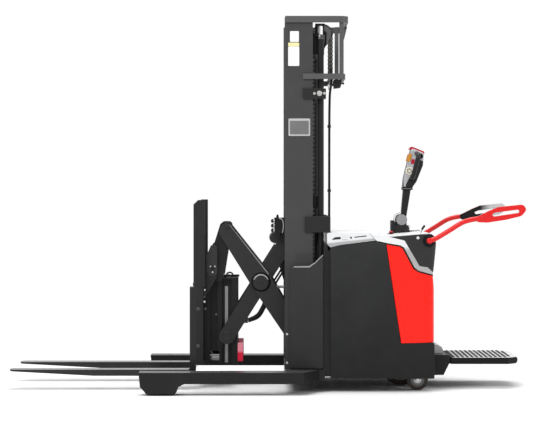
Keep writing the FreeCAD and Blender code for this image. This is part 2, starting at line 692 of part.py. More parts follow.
def inner_mast():
    front, rear, mouth, out = d.inner_front, d.inner_rear, d.inner_in, d.inner_out
    web_in, web_out = mouth + 22, mouth + 34
    tie_x, tie_thick = 300, 12
    sx, sz, r, deep = d.sheave_x, d.sheave_z, d.sheave_r, d.chain_deep
    outer_r = r + 0.4 + deep
    drop = 199
    for side, s in SIDES:
        rail = plate("inner_rail", "XY", [[
            (front, s * mouth), (front + 14, s * mouth), (front + 14, s * web_in),
            (rear - 14, s * web_in), (rear - 14, s * mouth), (rear, s * mouth), (rear, s * out),
            (rear - 14, s * out), (rear - 14, s * web_out), (front + 14, s * web_out),
            (front + 14, s * out), (front, s * out)]], 150, sz + 49)
        rollers = []
        for z in (210, 700):
            rollers.append(rod("roller_stub", "Y", 192.5, z, 20, s * (web_out - 1), s * (out + 3)))
            rollers.append(rod("inner_roller", "Y", 192.5, z, 59, s * (out + 2), s * (out + 9)))
        node("inner_rail_" + side, join("inner_rail", [rail] + rollers))
    ties = []
    for z0, z1 in ((190, 260), (1080, 1150)):
        for side, s in SIDES:
            ties.append(box("tie_arm", rear, tie_x + tie_thick, s * mouth, s * (mouth + 10), z0, z1))
        ties.append(box("tie", tie_x, tie_x + tie_thick, -mouth - 10, mouth + 10, z0, z1))
    node("inner_ties", join("inner_ties", ties))
    foot = sz - 126
    head = [box("head_tie", tie_x, tie_x + tie_thick, -mouth - 10, mouth + 10, foot, sz - 66)]
    sheaves, fronts, rears = [], [], []
    for side, s in SIDES:
        y = s * d.chain_y
        head.append(box("head_arm", rear, tie_x + tie_thick, s * mouth, s * (mouth + 10),
                        foot, sz - 1))
        head.append(box("head_post", 290, 345, s * (mouth - 34), s * (mouth - 22), foot, sz + 53))
        head.append(box("head_lug", 290, 345, s * (mouth - 34), s * (d.lift_y + 16),
                        sz + 39, sz + 53))
        for t in (-1, 1):
            edge = y + t * 16
            head.append(plate("sheave_cheek", "XZ", [[
                (300, foot), (325, foot), (sx + 24, sz - 60), (sx + 24, sz + 20, 16),
                (sx - 24, sz + 20, 16), (300, sz - 61)]], edge - 3, edge + 3))
        head.append(rod("sheave_pin", "Y", sx, sz, 11.94, y - 22, y + 22))
        disc = turned("sheave", sx, y, sz, [
            (12, -12), (r + 7, -12), (r + 7, -9.5), (r, -8.4), (r, 8.4), (r + 7, 9.5), (r + 7, 12),
            (12, 12)])
        ring = plate("chain_over", "XZ", [(sx, sz, outer_r), (sx, sz, 20)], y - 8, y + 8)
        upper = box("chain_half", sx - 90, sx + 90, y - 8, y + 8, sz, sz + 90)
        sheaves.append(join("sheave", [disc, common("chain_over", ring, upper)]))
        fronts.append(box("chain_front", sx - outer_r, sx - outer_r + deep, y - 8, y + 8,
                          d.chain_low, sz))
        rears.append(linked("chain_rear", sx + outer_r - deep * 0.5, sz - drop, sz, y - 8, y + 8))
    node("inner_head", join("inner_head", head))
    node("sheaves", join("sheaves", sheaves))
    rods = [rod("lift_rod", "Z", d.lift_x, s * d.lift_y, d.rod_r, 170, sz + 39) for side, s in SIDES]
    node("lift_rods", join("lift_rods", rods))
    node("chain_front", join("chain_front", fronts))
    node("chain_rear", join("chain_rear", rears))


def valve_block(y_in, y_out):
    """Valve and hose bracket on the near side plate, ahead of the upper pivot."""
    back, face, low, high = 146, 50, 926, 1008
    lane = y_in + 4
    pieces = [
        box("valve_body", face, 94, y_in + 18, y_out + 3, low, high),
        box("valve_roof", face - 4, back, y_in + 20, y_out, high, high + 12),
        plate("valve_web", "XZ", [[
            (back, high), (90, high), (90, low + 4), (118, low - 34), (back, low - 34)]], y_in, y_out),
        rod("valve_foot", "Z", 80, lane, 10, low - 16, low)]
    for z in (low + 14, low + 39, low + 64):
        pieces.append(rod("valve_port", "X", lane, z, 9, face - 8, face + 2))
    return pieces


def mast_carriage():
    px, pz = d.top_pin_x, d.top_pin_z
    inn, out = d.plate_in, d.plate_out
    pieces = []
    for side, s in SIDES:
        pieces.append(plate("carriage_side", "XZ", [[
            (136, 150), (240, 150), (240, 1010), (136, 1010, 20)]], s * inn, s * out))
        for x in (px - 39, px + 29):
            pieces.append(box("roller_way", x, x + 10, s * (inn - 24.5), s * inn, 168, 530))
        pieces.append(rod("top_pin", "Y", px, pz, d.pin_r, s * (d.inner_lane - 15), s * inn))
        pieces.append(rod("top_collar", "Y", px, pz, 30, s * (d.inner_lane + 17), s * inn))
        for z in (240, 700):
            pieces.append(rod("carriage_roller", "Y", 192.5, z, 39, s * out, s * (out + 24)))
        pieces.append(box("chain_lug", 240, 293, s * d.chain_y - 10, s * d.chain_y + 10,
                          d.chain_low - 15, d.chain_low))
        pieces.append(box("base_lug", 215, 250, s * 18.5, s * 28, 220, 322))
    for z0, z1 in ((150, 235), (455, 500), (860, 1000)):
        pieces.append(box("carriage_tie", 228, 240, -inn, inn, z0, z1))
    pieces.append(rod("base_pin", "Y", d.base_x, d.base_z, 12, -28, 28))
    pieces += valve_block(-inn, -out)
    node("mast_carriage", join("mast_carriage", pieces))


def bar(name, x0, z0, x1, z1, half, y0, y1):
    """Straight link: a plate and a round end at each pivot."""
    x0, z0, x1, z1 = dim(x0), dim(z0), dim(x1), dim(z1)
    length = math.hypot(x1.value - x0.value, z1.value - z0.value)
    ux = (x1 - x0) * (1 / length)
    uz = (z1 - z0) * (1 / length)
    half = dim(half)
    outline = [
        (x0 - uz * half, z0 + ux * half), (x1 - uz * half, z1 + ux * half),
        (x1 + uz * half, z1 - ux * half), (x0 + uz * half, z0 - ux * half)]
    return [plate(name, "XZ", [outline], y0, y1), rod(name, "Y", x0, z0, half, y0, y1),
            rod(name, "Y", x1, z1, half, y0, y1)]


def beside_arm(cx, cz, along, off):
    """Point at a distance along the inner arm from its centre, and off to its lower side."""
    run_x, run_z = d.top_pin_x.value - cx.value, d.top_pin_z.value - cz.value
    length = math.hypot(run_x, run_z)
    ux, uz = run_x / length, run_z / length
    return cx + ux * along + uz * off, cz + uz * along - ux * off


# pipes beside the near inner arm: distance off its middle line, and both ends along it
PIPE_LANES = (63, 79)
PIPE_START, PIPE_END = 32, 226


def hose_clips(cx, cz):
    """Clips on the near inner arm that hold its hoses and pipes."""
    y0, y1 = -(d.inner_lane - 9), -(d.inner_lane + 9)
    clips = [box("hose_clip", -16, 18, y0, y1, 560, 594),
             box("hose_clip", -150, -108, y0, y1, 390, 422)]
    for start, end in ((PIPE_START - 16, PIPE_START), (PIPE_END, PIPE_END + 16)):
        clips.append(plate("pipe_clip", "XZ", [[
            beside_arm(cx, cz, start, 36), beside_arm(cx, cz, start, 88),
            beside_arm(cx, cz, end, 88), beside_arm(cx, cz, end, 36)]], y0, y1))
    clips.append(rod("pipe_stub", "X", -d.inner_lane, 606, 8, cx, 108))
    return clips


def reach_hoses():
    """Two hoses below the near arm's centre and two pipes along its upper half."""
    px, pz, kx, fz = d.top_pin_x, d.top_pin_z, d.knee_x, d.foot_z
    cx, cz = (px + kx) * 0.5, (pz + fz) * 0.5
    y = -d.inner_lane.value
    r = d.hose_r.value
    pieces = []
    for points in (((10, 559.2), (4, 500), (-40, 420), (-106, 398)),
                   ((-7, 559), (-14, 505), (-52, 436), (-105.5, 413))):
        radii = []
        for before, here, after in zip(points, points[1:], points[2:]):
            first = math.atan2(here[1] - before[1], here[0] - before[0])
            second = math.atan2(after[1] - here[1], after[0] - here[0])
            run = min(math.dist(before, here), math.dist(here, after))
            radii.append(0.45 * run / math.tan(abs(second - first) / 2))
        print("hose radii", [round(radius) for radius in radii])
        pieces.append(swept_tube("hose", [(x, y, z) for x, z in points], radii, r))
    for off in PIPE_LANES:
        ends = [beside_arm(cx, cz, along, off) for along in (PIPE_START + 0.2, PIPE_END - 0.2)]
        points = [V(x.value, y, z.value) for x, z in ends]
        pipe = doc.addObject("Part::Cylinder", unique("pipe"))
        pipe.Radius = r
        pipe.Height = points[0].distanceToPoint(points[1])
        turn = FreeCAD.Rotation(V(0, 0, 1), points[1] - points[0])
        pipe.Placement = FreeCAD.Placement(points[0], turn)
        pieces.append(pipe)
    node("reach_hoses", join("reach_hoses", pieces))


def reach_arms():
    px, pz, kx, fz = d.top_pin_x, d.top_pin_z, d.knee_x, d.foot_z
    cx, cz = (px + kx) * 0.5, (pz + fz) * 0.5
    half = d.arm_thick * 0.5
    outer, inner = [], []
    for side, s in SIDES:
        y0, y1 = s * (d.outer_lane - half), s * (d.outer_lane + half)
        way = d.plate_in
        outer += bar("outer_arm", kx, pz, px, fz, d.arm_half, y0, y1)
        outer.append(rod("outer_boss", "Y", cx, cz, d.boss_r, y0, y1 + s * 5))
        outer.append(rod("centre_cap", "Y", cx, cz, 30, y1, y1 + s * 9))
        outer.append(rod("knee_pin", "Y", kx, pz, 14, s * (d.inner_lane - 13), y1 + s * 4))
        outer.append(rod("foot_pin", "Y", px, fz, 12, y1, s * (way - 5)))
        outer.append(rod("foot_roller", "Y", px, fz, d.roller_r, s * (way - 25), s * (way - 6)))
    outer.append(rod("centre_shaft", "Y", cx, cz, d.shaft_r, half - d.outer_lane,
                     d.outer_lane - half))
    node("outer_arms", join("outer_arms", outer))
    for side, s in SIDES:
        y0, y1 = s * (d.inner_lane - half), s * (d.inner_lane + half)
        slot = d.slot_lane
        inner += bar("inner_arm", px, pz, kx, fz, d.arm_half, y0, y1)
        inner.append(rod("inner_boss", "Y", cx, cz, d.boss_r, y0, y1))
        inner += bar("eye_lug", px, pz, d.eye_x, d.eye_z, 30, y0, y1)[:1]
        inner.append(rod("eye_end", "Y", d.eye_x, d.eye_z, 30, y0, y1))
        inner.append(rod("wheel_pin", "Y", kx, fz, 12, s * (slot - 27), y0))
        inner.append(rod("wheel_roller", "Y", kx, fz, d.roller_r, s * (slot - 26), s * (slot - 5)))
    inner.append(rod("eye_tube", "Y", d.eye_x, d.eye_z, 16, half - d.inner_lane,
                     d.inner_lane - half))
    reach = d.inner_lane + half + 5
    holes = [rod("shaft_hole", "Y", cx, cz, d.shaft_r + 0.06, -reach, reach),
             rod("pin_hole", "Y", px, pz, d.pin_r + 0.06, -reach, reach)]
    inner += hose_clips(cx, cz)
    node("inner_arms", cut("inner_arms", join("inner_arms", inner), holes))


def reach_cylinder():
    bx, bz, ex, ez = d.base_x, d.base_z, d.eye_x, d.eye_z
    run = math.hypot(ex.value - bx.value, ez.value - bz.value)
    lean = math.degrees(math.atan2(ex.value - bx.value, ez.value - bz.value))
    turn = FreeCAD.Rotation(V(0, 1, 0), lean)

    def along(name, r, low, high):
        post = doc.addObject("Part::Cylinder", unique(name))
        direction = turn.multVec(V(0, 0, 1))
        start = V(bx.value, 0, bz.value) + direction * low
        post.Placement = FreeCAD.Placement(start, turn)
        post.Radius = r
        post.Height = high - low
        return post

    hole_r = 16 + d.eye_drift
    barrel = join("reach_barrel", [
        along("reach_tube", 24, 38, 480), along("reach_gland", 28, 455, 482),
        along("reach_neck", 15, 10, 40), rod("reach_eye", "Y", bx, bz, 24, -16, 16)])
    hollow = [along("reach_bore", 12.08, 60, 500),
              rod("reach_hole", "Y", bx, bz, 12.06, -30, 30)]
    node("reach_barrel", cut("reach_barrel", barrel, hollow))
    shaft = join("reach_rod", [
        along("reach_shaft", 12, 140, run - hole_r.value - 2),
        rod("rod_eye", "Y", ex, ez, hole_r + 9, -16, 16)])
    node("reach_rod", cut("reach_rod", shaft, [rod("rod_hole", "Y", ex, ez, hole_r, -30, 30)]))


def fork_frame():
    kx, pz = d.knee_x, d.top_pin_z
    tx, tz = d.tilt_x, d.tilt_z
    pieces = []
    mouth, web = d.slot_lane, d.slot_lane - 42
    inn, out = d.inner_lane - d.arm_thick * 0.5, d.inner_lane + d.arm_thick * 0.5
    for side, s in SIDES:
        slot = plate("slot_channel", "XY", [[
            (kx - 45, s * mouth), (kx - 45, s * web), (kx + 64.6, s * web),
            (kx + 64.6, s * mouth), (kx + 29, s * mouth), (kx + 29, s * (web + 10)),
            (kx - 29, s * (web + 10)), (kx - 29, s * mouth)]], 144, 649)
        channel = plate("rear_channel", "XY", [[
            (kx - 109, s * mouth), (kx - 109, s * web), (kx - 44, s * web), (kx - 44, s * mouth),
            (kx - 56, s * mouth), (kx - 56, s * (web + 12)), (kx - 97, s * (web + 12)),
            (kx - 97, s * mouth)]], 221, 667)
        cap = box("slot_cap", kx - 50, kx + 70, s * web, s * mouth, 649, 661)
        bracket = plate("knee_bracket", "XZ", [[
            (-270, 990, 22), (-208, 990, 22), (-206, 930, 20), (-228, 830), (-254, 663),
            (-344, 663), (-350, 740, 10), (-328, 838), (-312, 856)]], s * inn, s * out)
        hole = rod("knee_hole", "Y", kx, pz, 14.06, s * (inn - 13), s * (out + 23))
        pieces.append(cut("knee_bracket", bracket, [hole]))
        pieces.append(box("bracket_foot", -344, -262, s * web, s * out, 640, 690))
        pieces.append(rod("tilt_pin", "Y", tx, tz, 14, s * (out - 2), s * (out + 27)))
        pieces += [slot, channel, cap]
        pieces.append(box("barrel_lug", -232, -198, s * 24, s * 34, 150, 222))
    for z0, z1 in ((560, 667), (250, 330)):
        pieces.append(box("frame_tie", -344, -322, -web - 4, web + 4, z0, z1))
    pieces.append(box("frame_floor", -344, -190, -web - 4, web + 4, 150, 162))
    pieces.append(rod("barrel_pin", "Y", -215, 205, 9, -34, 34))
    node("fork_frame", join("fork_frame", pieces))
    buffers = [box("buffer", kx + 64.6, kx + 97, s * (web + 4), s * (mouth - 2), 160, 268)
               for side, s in SIDES]
    node("buffers", join("buffers", buffers))


def fork_carriage():
    tx, tz, face = d.tilt_x, d.tilt_z, d.fork_face
    back = face + d.fork_thick
    out = d.fork_out
    lane = d.outer_lane - 7
    pieces = []
    for side, s in SIDES:
        pieces.append(box("carriage_cheek", back, -373, s * (out - 30), s * out, 150, 609))
        hanger = plate("hanger", "XZ", [[
            (-373, 560), (-373, 609), (-359, 661), (-366, 740, 12), (-331, 848, 6),
            (-300, 846, 6), (tx + 30, tz), (-295, 661, 10), (-352, 560)]], s * lane, s * (lane + 13))
        hole = rod("tilt_hole", "Y", tx, tz, 14.06, s * (lane - 27), s * (lane + 33))
        pieces.append(cut("hanger", hanger, [hole]))
        pieces.append(box("hanger_foot", -400, -355, s * lane, s * (out - 23), 540, 600))
        pieces.append(box("rod_lug", -395, -358, s * 14, s * 24, 170, 222))
    for z0, z1 in ((500, 590), (165, 245)):
        pieces.append(box("fork_bar", back, -385, -out, out, z0, z1))
    pieces.append(rod("rod_pin", "Y", -367, 205, 8, -24, 24))
    node("fork_carriage", join("fork_carriage", pieces))
    top, thick = d.blade_top, d.fork_thick
    for side, s in SIDES:
        inn, out = s * (d.fork_out - d.fork_width), s * d.fork_out
        shape = plate("fork", "XZ", [[
            (d.fork_tip, top), (d.fork_tip, top - 10, 4), (-1020, top - thick),
            (back, top - thick, 40), (back, d.shank_top), (face, d.shank_top), (face, top, 12)]],
            inn, out)
        tip = plate("fork_plan", "XY", [[
            (d.fork_tip, inn, 34), (d.fork_tip, out, 34), (-300, out), (-300, inn)]], 60, 640)
        node("fork_" + side, common("fork", shape, tip))
    rest = []
    for side, s in SIDES:
        rest.append(plate("rest_post", "XZ", [[
            (-430, d.shank_top), (-430, 1097), (-403, d.rest_top), (-362, d.rest_top),
            (-362, d.shank_top)]],
            s * (d.fork_out - 12), s * d.fork_out))
        rest.append(box("rest_bar", -430, -418, s * 85, s * 95, 615, 1100))
    for z0, z1 in ((1076, 1100), (840, 864), (615, 639)):
        rest.append(box("rest_rail", -430, -418, -d.fork_out, d.fork_out, z0, z1))
    node("load_backrest", join("load_backrest", rest))


def tilt_cylinder():
    x0, x1, z = -215, -367, 205
    barrel = join("tilt_barrel", [rod("tilt_tube", "X", 0, z, 20, -328, -232),
                                  rod("tilt_eye", "Y", x0, z, 20, -22, 22)])
    hollow = [rod("tilt_bore", "X", 0, z, 10.06, -330, -240),
              rod("eye_bore", "Y", x0, z, 9.06, -30, 30)]
    node("tilt_barrel", cut("tilt_barrel", barrel, hollow))
    shaft = join("tilt_rod", [rod("tilt_shaft", "X", 0, z, 10, -355, -272),
                              rod("tilt_rod_eye", "Y", x1, z, 16, -13, 13)])
    eye = rod("rod_bore", "Y", x1, z, 8 + d.tilt_drift, -30, 30)
    node("tilt_rod", cut("tilt_rod", shaft, [eye]))


legs()
load_wheels()
chassis()
battery()
body_panels()
platform()
guard_arms()
tiller()
controls()
drive()
mast()
inner_mast()
mast_carriage()
reach_arms()
reach_hoses()
reach_cylinder()
fork_frame()
fork_carriage()
tilt_cylinder()

doc.recompute()
for obj in doc.Objects:
    if any(state in ("Invalid", "Error") for state in obj.State):
        raise RuntimeError("failed object: %s %s" % (obj.Name, obj.State))
for obj in NODES:
    if obj.Shape.isNull() or not obj.Shape.isValid():
        raise RuntimeError("bad shape: " + obj.Label)
for obj in NODES:
    obj.Shape.exportStep("parts/%s.step" % obj.Label)
    print("%-24s %2d solids %10.0f cm3" % (obj.Label, len(obj.Shape.Solids), obj.Shape.Volume / 1000))
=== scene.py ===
import bpy
import bmesh
import math
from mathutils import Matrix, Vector

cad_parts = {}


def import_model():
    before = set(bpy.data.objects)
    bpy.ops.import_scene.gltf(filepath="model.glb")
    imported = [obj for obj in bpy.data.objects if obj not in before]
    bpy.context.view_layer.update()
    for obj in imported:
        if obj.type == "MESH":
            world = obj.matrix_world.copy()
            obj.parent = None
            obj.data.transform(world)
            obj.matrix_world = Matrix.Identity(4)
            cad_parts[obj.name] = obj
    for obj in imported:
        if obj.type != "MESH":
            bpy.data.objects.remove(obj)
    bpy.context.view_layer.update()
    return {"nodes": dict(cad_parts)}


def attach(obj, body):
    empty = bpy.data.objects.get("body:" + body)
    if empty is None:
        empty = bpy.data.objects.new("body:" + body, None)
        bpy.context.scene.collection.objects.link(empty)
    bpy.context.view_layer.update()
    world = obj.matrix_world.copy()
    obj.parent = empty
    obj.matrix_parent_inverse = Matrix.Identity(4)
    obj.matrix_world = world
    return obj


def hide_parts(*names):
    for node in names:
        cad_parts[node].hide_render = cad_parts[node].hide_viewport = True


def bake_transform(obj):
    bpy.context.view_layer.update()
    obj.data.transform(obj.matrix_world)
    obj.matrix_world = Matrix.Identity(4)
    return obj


# Looks of the stand-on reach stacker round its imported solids. Metres, but the tables are in
# millimetres; X runs to the operator's end, Y across (the near side is minus Y), Z up.

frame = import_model()
NODES = frame["nodes"]
SIDES = (("left", -1), ("right", 1))
MM = 0.001

# places that several pieces share, as (X, Z) in millimetres
KNEE = (-234.6, 962)
CROSSING = (-29.8, 636)
OUTER_FOOT = (175, 310)
INNER_FOOT = (-234.6, 310)
SHEAVE = (337, 2111)
GUARD_PIVOT = (954, 888)
TILLER_PIVOT = (821, 1003)


def put(name, data):
    obj = bpy.data.objects.new(name, data)
    bpy.context.scene.collection.objects.link(obj)
    return obj


def new_tree(name):
    mat = bpy.data.materials.new(name)
    mat.use_nodes = True
    tree = mat.node_tree
    return mat, tree, tree.nodes["Principled BSDF"]


class Graph:
    """Short calls for building a shader graph."""

    def __init__(self, tree):
        self.tree = tree
        coords = tree.nodes.new("ShaderNodeTexCoord")
        self.where = coords.outputs["Object"]
        self.facing = self.node("ShaderNodeSeparateXYZ", Vector=coords.outputs["Normal"])
        parts = self.node("ShaderNodeSeparateXYZ", Vector=self.where)
        self.x, self.y, self.z = parts.outputs

    def node(self, kind, **inputs):
        made = self.tree.nodes.new(kind)
        for key, value in inputs.items():
            self.feed(made.inputs[key.replace("_", " ")], value)
        return made

    def feed(self, socket, value):
        if isinstance(value, bpy.types.NodeSocket):
            self.tree.links.new(value, socket)
        else:
            socket.default_value = value

    def stretch(self, sx=1, sy=1, sz=1):
        return self.node("ShaderNodeMapping", Vector=self.where,
                         Scale=(sx, sy, sz)).outputs["Vector"]

    def noise(self, scale, detail=3, rough=0.5, vector=None):
        return self.node("ShaderNodeTexNoise", Vector=vector or self.where, Scale=scale,
                         Detail=detail, Roughness=rough).outputs["Fac"]

    def ramp(self, value, low, high, start=0.0, end=1.0):
        return self.node("ShaderNodeMapRange", Value=value, **{
            "From Min": start, "From Max": end, "To Min": low, "To Max": high}).outputs["Result"]

    def mix(self, factor, one, two, blend="MIX"):
        made = self.tree.nodes.new("ShaderNodeMix")
        made.data_type = "RGBA"
        made.blend_type = blend
        for index, value in ((0, factor), (6, one), (7, two)):
            self.feed(made.inputs[index], value)
        return made.outputs[2]

    def math(self, kind, one, two=0.0):
        made = self.tree.nodes.new("ShaderNodeMath")
        made.operation = kind
        for index, value in ((0, one), (1, two)):
            self.feed(made.inputs[index], value)
        return made.outputs[0]

    def over(self, value, edge, soft=0.0004):
        """1 where the value is above the edge."""
        return self.ramp(value, 0.0, 1.0, edge - soft, edge + soft)

    def under(self, value, edge, soft=0.0004):
        return self.ramp(value, 1.0, 0.0, edge - soft, edge + soft)

    def all_of(self, *masks):
        result = masks[0]
        for mask in masks[1:]:
            result = self.math("MULTIPLY", result, mask)
        return result

    def any_of(self, *masks):
        result = masks[0]
        for mask in masks[1:]:
            result = self.math("MAXIMUM", result, mask)
        return result

    def distance(self, one, one_at, two, two_at):
        """Distance in metres from a line, by its two coordinates in millimetres."""
        squares = [self.math("POWER", self.math("SUBTRACT", value, at * MM), 2.0)
                   for value, at in ((one, one_at), (two, two_at))]
        return self.math("SQRT", self.math("ADD", *squares))

    def from_axis(self, place):
        """Distance from a line along Y."""
        return self.distance(self.x, place[0], self.z, place[1])

    def from_post(self, x, y):
        """Distance from an upright line."""
        return self.distance(self.x, x, self.y, y)

    def away(self):
        """Distance from the truck's middle plane."""
        return self.math("ABSOLUTE", self.y)

    def edges(self, radius):
        """1 near edges, 0 on flat faces."""
        bevel = self.node("ShaderNodeBevel", Radius=radius)
        bevel.samples = 4
        flat = self.tree.nodes.new("ShaderNodeNewGeometry").outputs["Normal"]
        dot = self.tree.nodes.new("ShaderNodeVectorMath")
        dot.operation = "DOT_PRODUCT"
        self.tree.links.new(bevel.outputs["Normal"], dot.inputs[0])
        self.tree.links.new(flat, dot.inputs[1])
        return self.ramp(dot.outputs["Value"], 1.0, 0.0, 0.75, 0.995)

    def bump(self, height, strength, distance):
        return self.node("ShaderNodeBump", Height=height, Strength=strength,
                         Distance=distance).outputs["Normal"]

    def finish(self, shader, base, rough, normal, metallic, patches, **fixed):
        """Lays other finishes where their masks are 1, then feeds the shader.

        A patch is (mask of the graph, colour, roughness, metallic).
        """
        for mask_of, rgb, patch_rough, patch_metal in patches:
            mask = mask_of(self)
            base = self.mix(mask, base, shade(rgb, 1.0))
            rough = self.blend(mask, rough, patch_rough)
            metallic = self.blend(mask, metallic, patch_metal)
        for key, value in dict(fixed, Base_Color=base, Roughness=rough, Normal=normal,
                               Metallic=metallic).items():
            self.feed(shader.inputs[key.replace("_", " ")], value)

    def blend(self, mask, one, two):
        if not isinstance(one, bpy.types.NodeSocket) and one == two:
            return one
        made = self.tree.nodes.new("ShaderNodeMix")
        made.data_type = "FLOAT"
        for index, value in ((0, mask), (2, one), (3, two)):
            self.feed(made.inputs[index], value)
        return made.outputs[0]


def shade(rgb, factor):
    return (rgb[0] * factor, rgb[1] * factor, rgb[2] * factor, 1.0)


def paint(name, rgb, rough, spec=0.14, peel=0.1, wear=1.9, coat=0.0, dust=0.05, grain=900,
          cloudy=0.05, top_sheen=0.2, fall=0.0, patches=()):
    """Painted sheet: faint clouds, orange peel, a little dust and paler edges, partly wear and
    partly painted highlight.

    A painted highlight lightens its upper faces, and painted shade darkens it towards the ground.
    """
    mat, tree, bsdf = new_tree(name)
    g = Graph(tree)
    cloud = g.ramp(g.noise(3.2, 4, 0.55), 0, 1, 0.3, 0.7)
    base = g.mix(cloud, shade(rgb, 1 - cloudy), shade(rgb, 1 + cloudy))
    # painted shade: the colour darkens towards the ground
    if fall:
        base = g.mix(g.ramp(g.z, fall, 0, 0.1, 0.9), base, shade(rgb, 0.25))
    fine = g.noise(170, 3, 0.6)
    dusty = g.math("MULTIPLY", g.ramp(g.noise(11, 5, 0.65), 0, 1, 0.52, 0.8), dust)
    base = g.mix(dusty, base, (0.11 + rgb[0] * 0.6, 0.105 + rgb[1] * 0.6, 0.1 + rgb[2] * 0.6, 1))
    # painted highlight: upward-facing surfaces lightened towards grey
    if top_sheen:
        upper = g.math("MULTIPLY", g.ramp(g.facing.outputs["Z"], 0, 1, 0.5, 0.95), top_sheen)
        base = g.mix(upper, base, (0.2, 0.2, 0.2, 1))
    # paler edges: partly edge wear, partly painted highlight along the edges
    if wear:
        edge = g.math("MULTIPLY", g.edges(0.0016), g.ramp(fine, 0.2, 0.9, 0.35, 0.7))
        base = g.mix(edge, base, tuple(min(1, part * wear + 0.012) for part in rgb) + (1,))
    roughness = g.ramp(g.noise(26, 4, 0.6), rough - 0.04, rough + 0.05, 0.3, 0.7)
    normal = g.bump(g.noise(grain, 2, 0.5), peel, 0.0004)
    g.finish(bsdf, base, roughness, normal, 0.0, patches, Specular_IOR_Level=spec,
             Coat_Weight=coat, Coat_Roughness=0.06)
    return mat


def moulded(name, rgb, rough, grain=650, bump=0.3, spec=0.25, fade=0.06, patches=()):
    """Moulded plastic or rubber with a fine leathery grain."""
    mat, tree, bsdf = new_tree(name)
    g = Graph(tree)
    cells = g.node("ShaderNodeTexVoronoi", Vector=g.where, Scale=grain).outputs["Distance"]
    cloud = g.ramp(g.noise(6, 4, 0.6), 0, 1, 0.3, 0.7)
    base = g.mix(cloud, shade(rgb, 1 - fade), shade(rgb, 1 + fade))
    # paler edges: partly scuffing, partly painted highlight along the edges
    base = g.mix(g.math("MULTIPLY", g.edges(0.0012), 0.4), base, shade(rgb, 1.7))
    roughness = g.ramp(g.noise(60, 3, 0.6), rough - 0.06, rough + 0.06, 0.3, 0.7)
    normal = g.bump(cells, bump, 0.0004)
    g.finish(bsdf, base, roughness, normal, 0.0, patches, Specular_IOR_Level=spec)
    return mat


def metal(name, rgb, rough, along=(1, 1, 1), streak=120, wear=0.15, bump=0.08, patches=()):
    """Bare metal with fine turning or rolling marks."""
    mat, tree, bsdf = new_tree(name)
    g = Graph(tree)
    lines = g.noise(streak, 3, 0.6, g.stretch(*along))
    cloud = g.ramp(g.noise(9, 4, 0.6), 0, 1, 0.3, 0.7)
    base = g.mix(cloud, shade(rgb, 1 - wear), shade(rgb, 1.0))
    roughness = g.ramp(lines, rough * 0.75, rough * 1.3, 0.3, 0.7)
    normal = g.bump(lines, bump, 0.0003)
    g.finish(bsdf, base, roughness, normal, 1.0, patches)
    return mat


BLACK = (0.013, 0.013, 0.0135)
PALE = (0.72, 0.73, 0.74)
CHROME = (0.78, 0.78, 0.8)
STEEL = (0.5, 0.5, 0.51)
RED = (0.86, 0.016, 0.009)
DARK = (0.011, 0.0113, 0.012)


# a point of the outer arm's upper edge in millimetres, and the direction across that edge
ARM_EDGE_AT = (27.4, 671.9)
ARM_EDGE_ACROSS = (0.788, 0.616)
# height of the slope over the tiller's head where X is 0, and its fall with X, in metres
HEAD_SLOPE_AT, HEAD_SLOPE_FALL = 1.832, 0.5


def console_rim(g):
    """Pale top of the console, clear of the tiller's foot, with its thin rim."""
    line = g.ramp(g.x, 0.908, 0.9255, 0.703, 0.911)
    high = g.over(g.math("SUBTRACT", g.z, line), 0.0)
    return g.all_of(high, g.over(g.from_post(816, 0), 0.082))


# painted shade: the silver trim greyer low down, where its side faces away from the light
def lower_band_shade(g):
    return g.under(g.z, 0.842, 0.012)


def lid_flange_shade(g):
    """Greyer strip along the lid's foot: painted shade on its side."""
    line = g.ramp(g.x, 0.874, 0.901, 0.377, 0.63)
    return g.under(g.math("SUBTRACT", g.z, line), 0.0, 0.004)


# painted shade: the lid's recessed grip darkened
def lid_recess_shade(g):
    deep = g.under(g.away(), 0.4284)
    return g.all_of(deep, g.over(g.x, 0.381), g.under(g.x, 0.59), g.over(g.z, 0.888),
                    g.under(g.z, 0.9205))


def cover_top_highlight(g):
    """Painted highlight along the mast cover's stepped top edge."""
    first = g.ramp(g.x, 0.7365, 0.762, 0.254, 0.289)
    second = g.ramp(g.x, 0.0, 0.045, 0.289, 0.334)
    line = g.math("ADD", first, second)
    return g.all_of(g.over(g.math("SUBTRACT", g.z, line), -0.0055), g.over(g.x, 0.16))


def head_shell(g):
    """Pale side shells and top of the tiller head, round its black hand band."""
    line = g.ramp(g.z, 0.846, 0.907, 1.216, 1.334)
    left = g.over(g.math("SUBTRACT", line, g.x), 0.0)
    slope = g.math("ADD", g.z, g.math("MULTIPLY", g.x, HEAD_SLOPE_FALL))
    top = g.over(slope, HEAD_SLOPE_AT)
    side = g.over(g.away(), 0.0405)
    body = g.all_of(g.over(g.z, 1.2035), g.under(g.away(), 0.0525), g.over(g.x, 0.833))
    return g.all_of(body, side, g.any_of(left, top))


def arm_edge_highlight(g):
    """Painted highlight along the outer arm's upper edge, from the knee to the boss."""
    (x, z), (across_x, across_z) = ARM_EDGE_AT, ARM_EDGE_ACROSS
    out = g.math("ADD", g.math("MULTIPLY", g.math("SUBTRACT", g.x, x * MM), across_x),
                 g.math("MULTIPLY", g.math("SUBTRACT", g.z, z * MM), across_z))
    return g.all_of(g.over(out, -0.005, 0.002), g.under(g.x, 0.015), g.over(g.z, 0.68))


def boss_groove(g):
    """Dark joint round the boss cap."""
    out = g.from_axis(CROSSING)
    return g.all_of(g.over(out, 0.0475), g.under(out, 0.0585), g.over(g.away(), 0.2455))


# painted highlight: the pad's far end pale
def pad_end_highlight(g):
    return g.over(g.x, 1.385, 0.03)


def cap_rim_highlight(g):
    """Painted highlight on the upper rim of the boss cap."""
    out = g.from_axis(CROSSING)
    return g.all_of(g.over(out, 0.0405), g.over(g.z, 0.652), g.under(out, 0.0475))


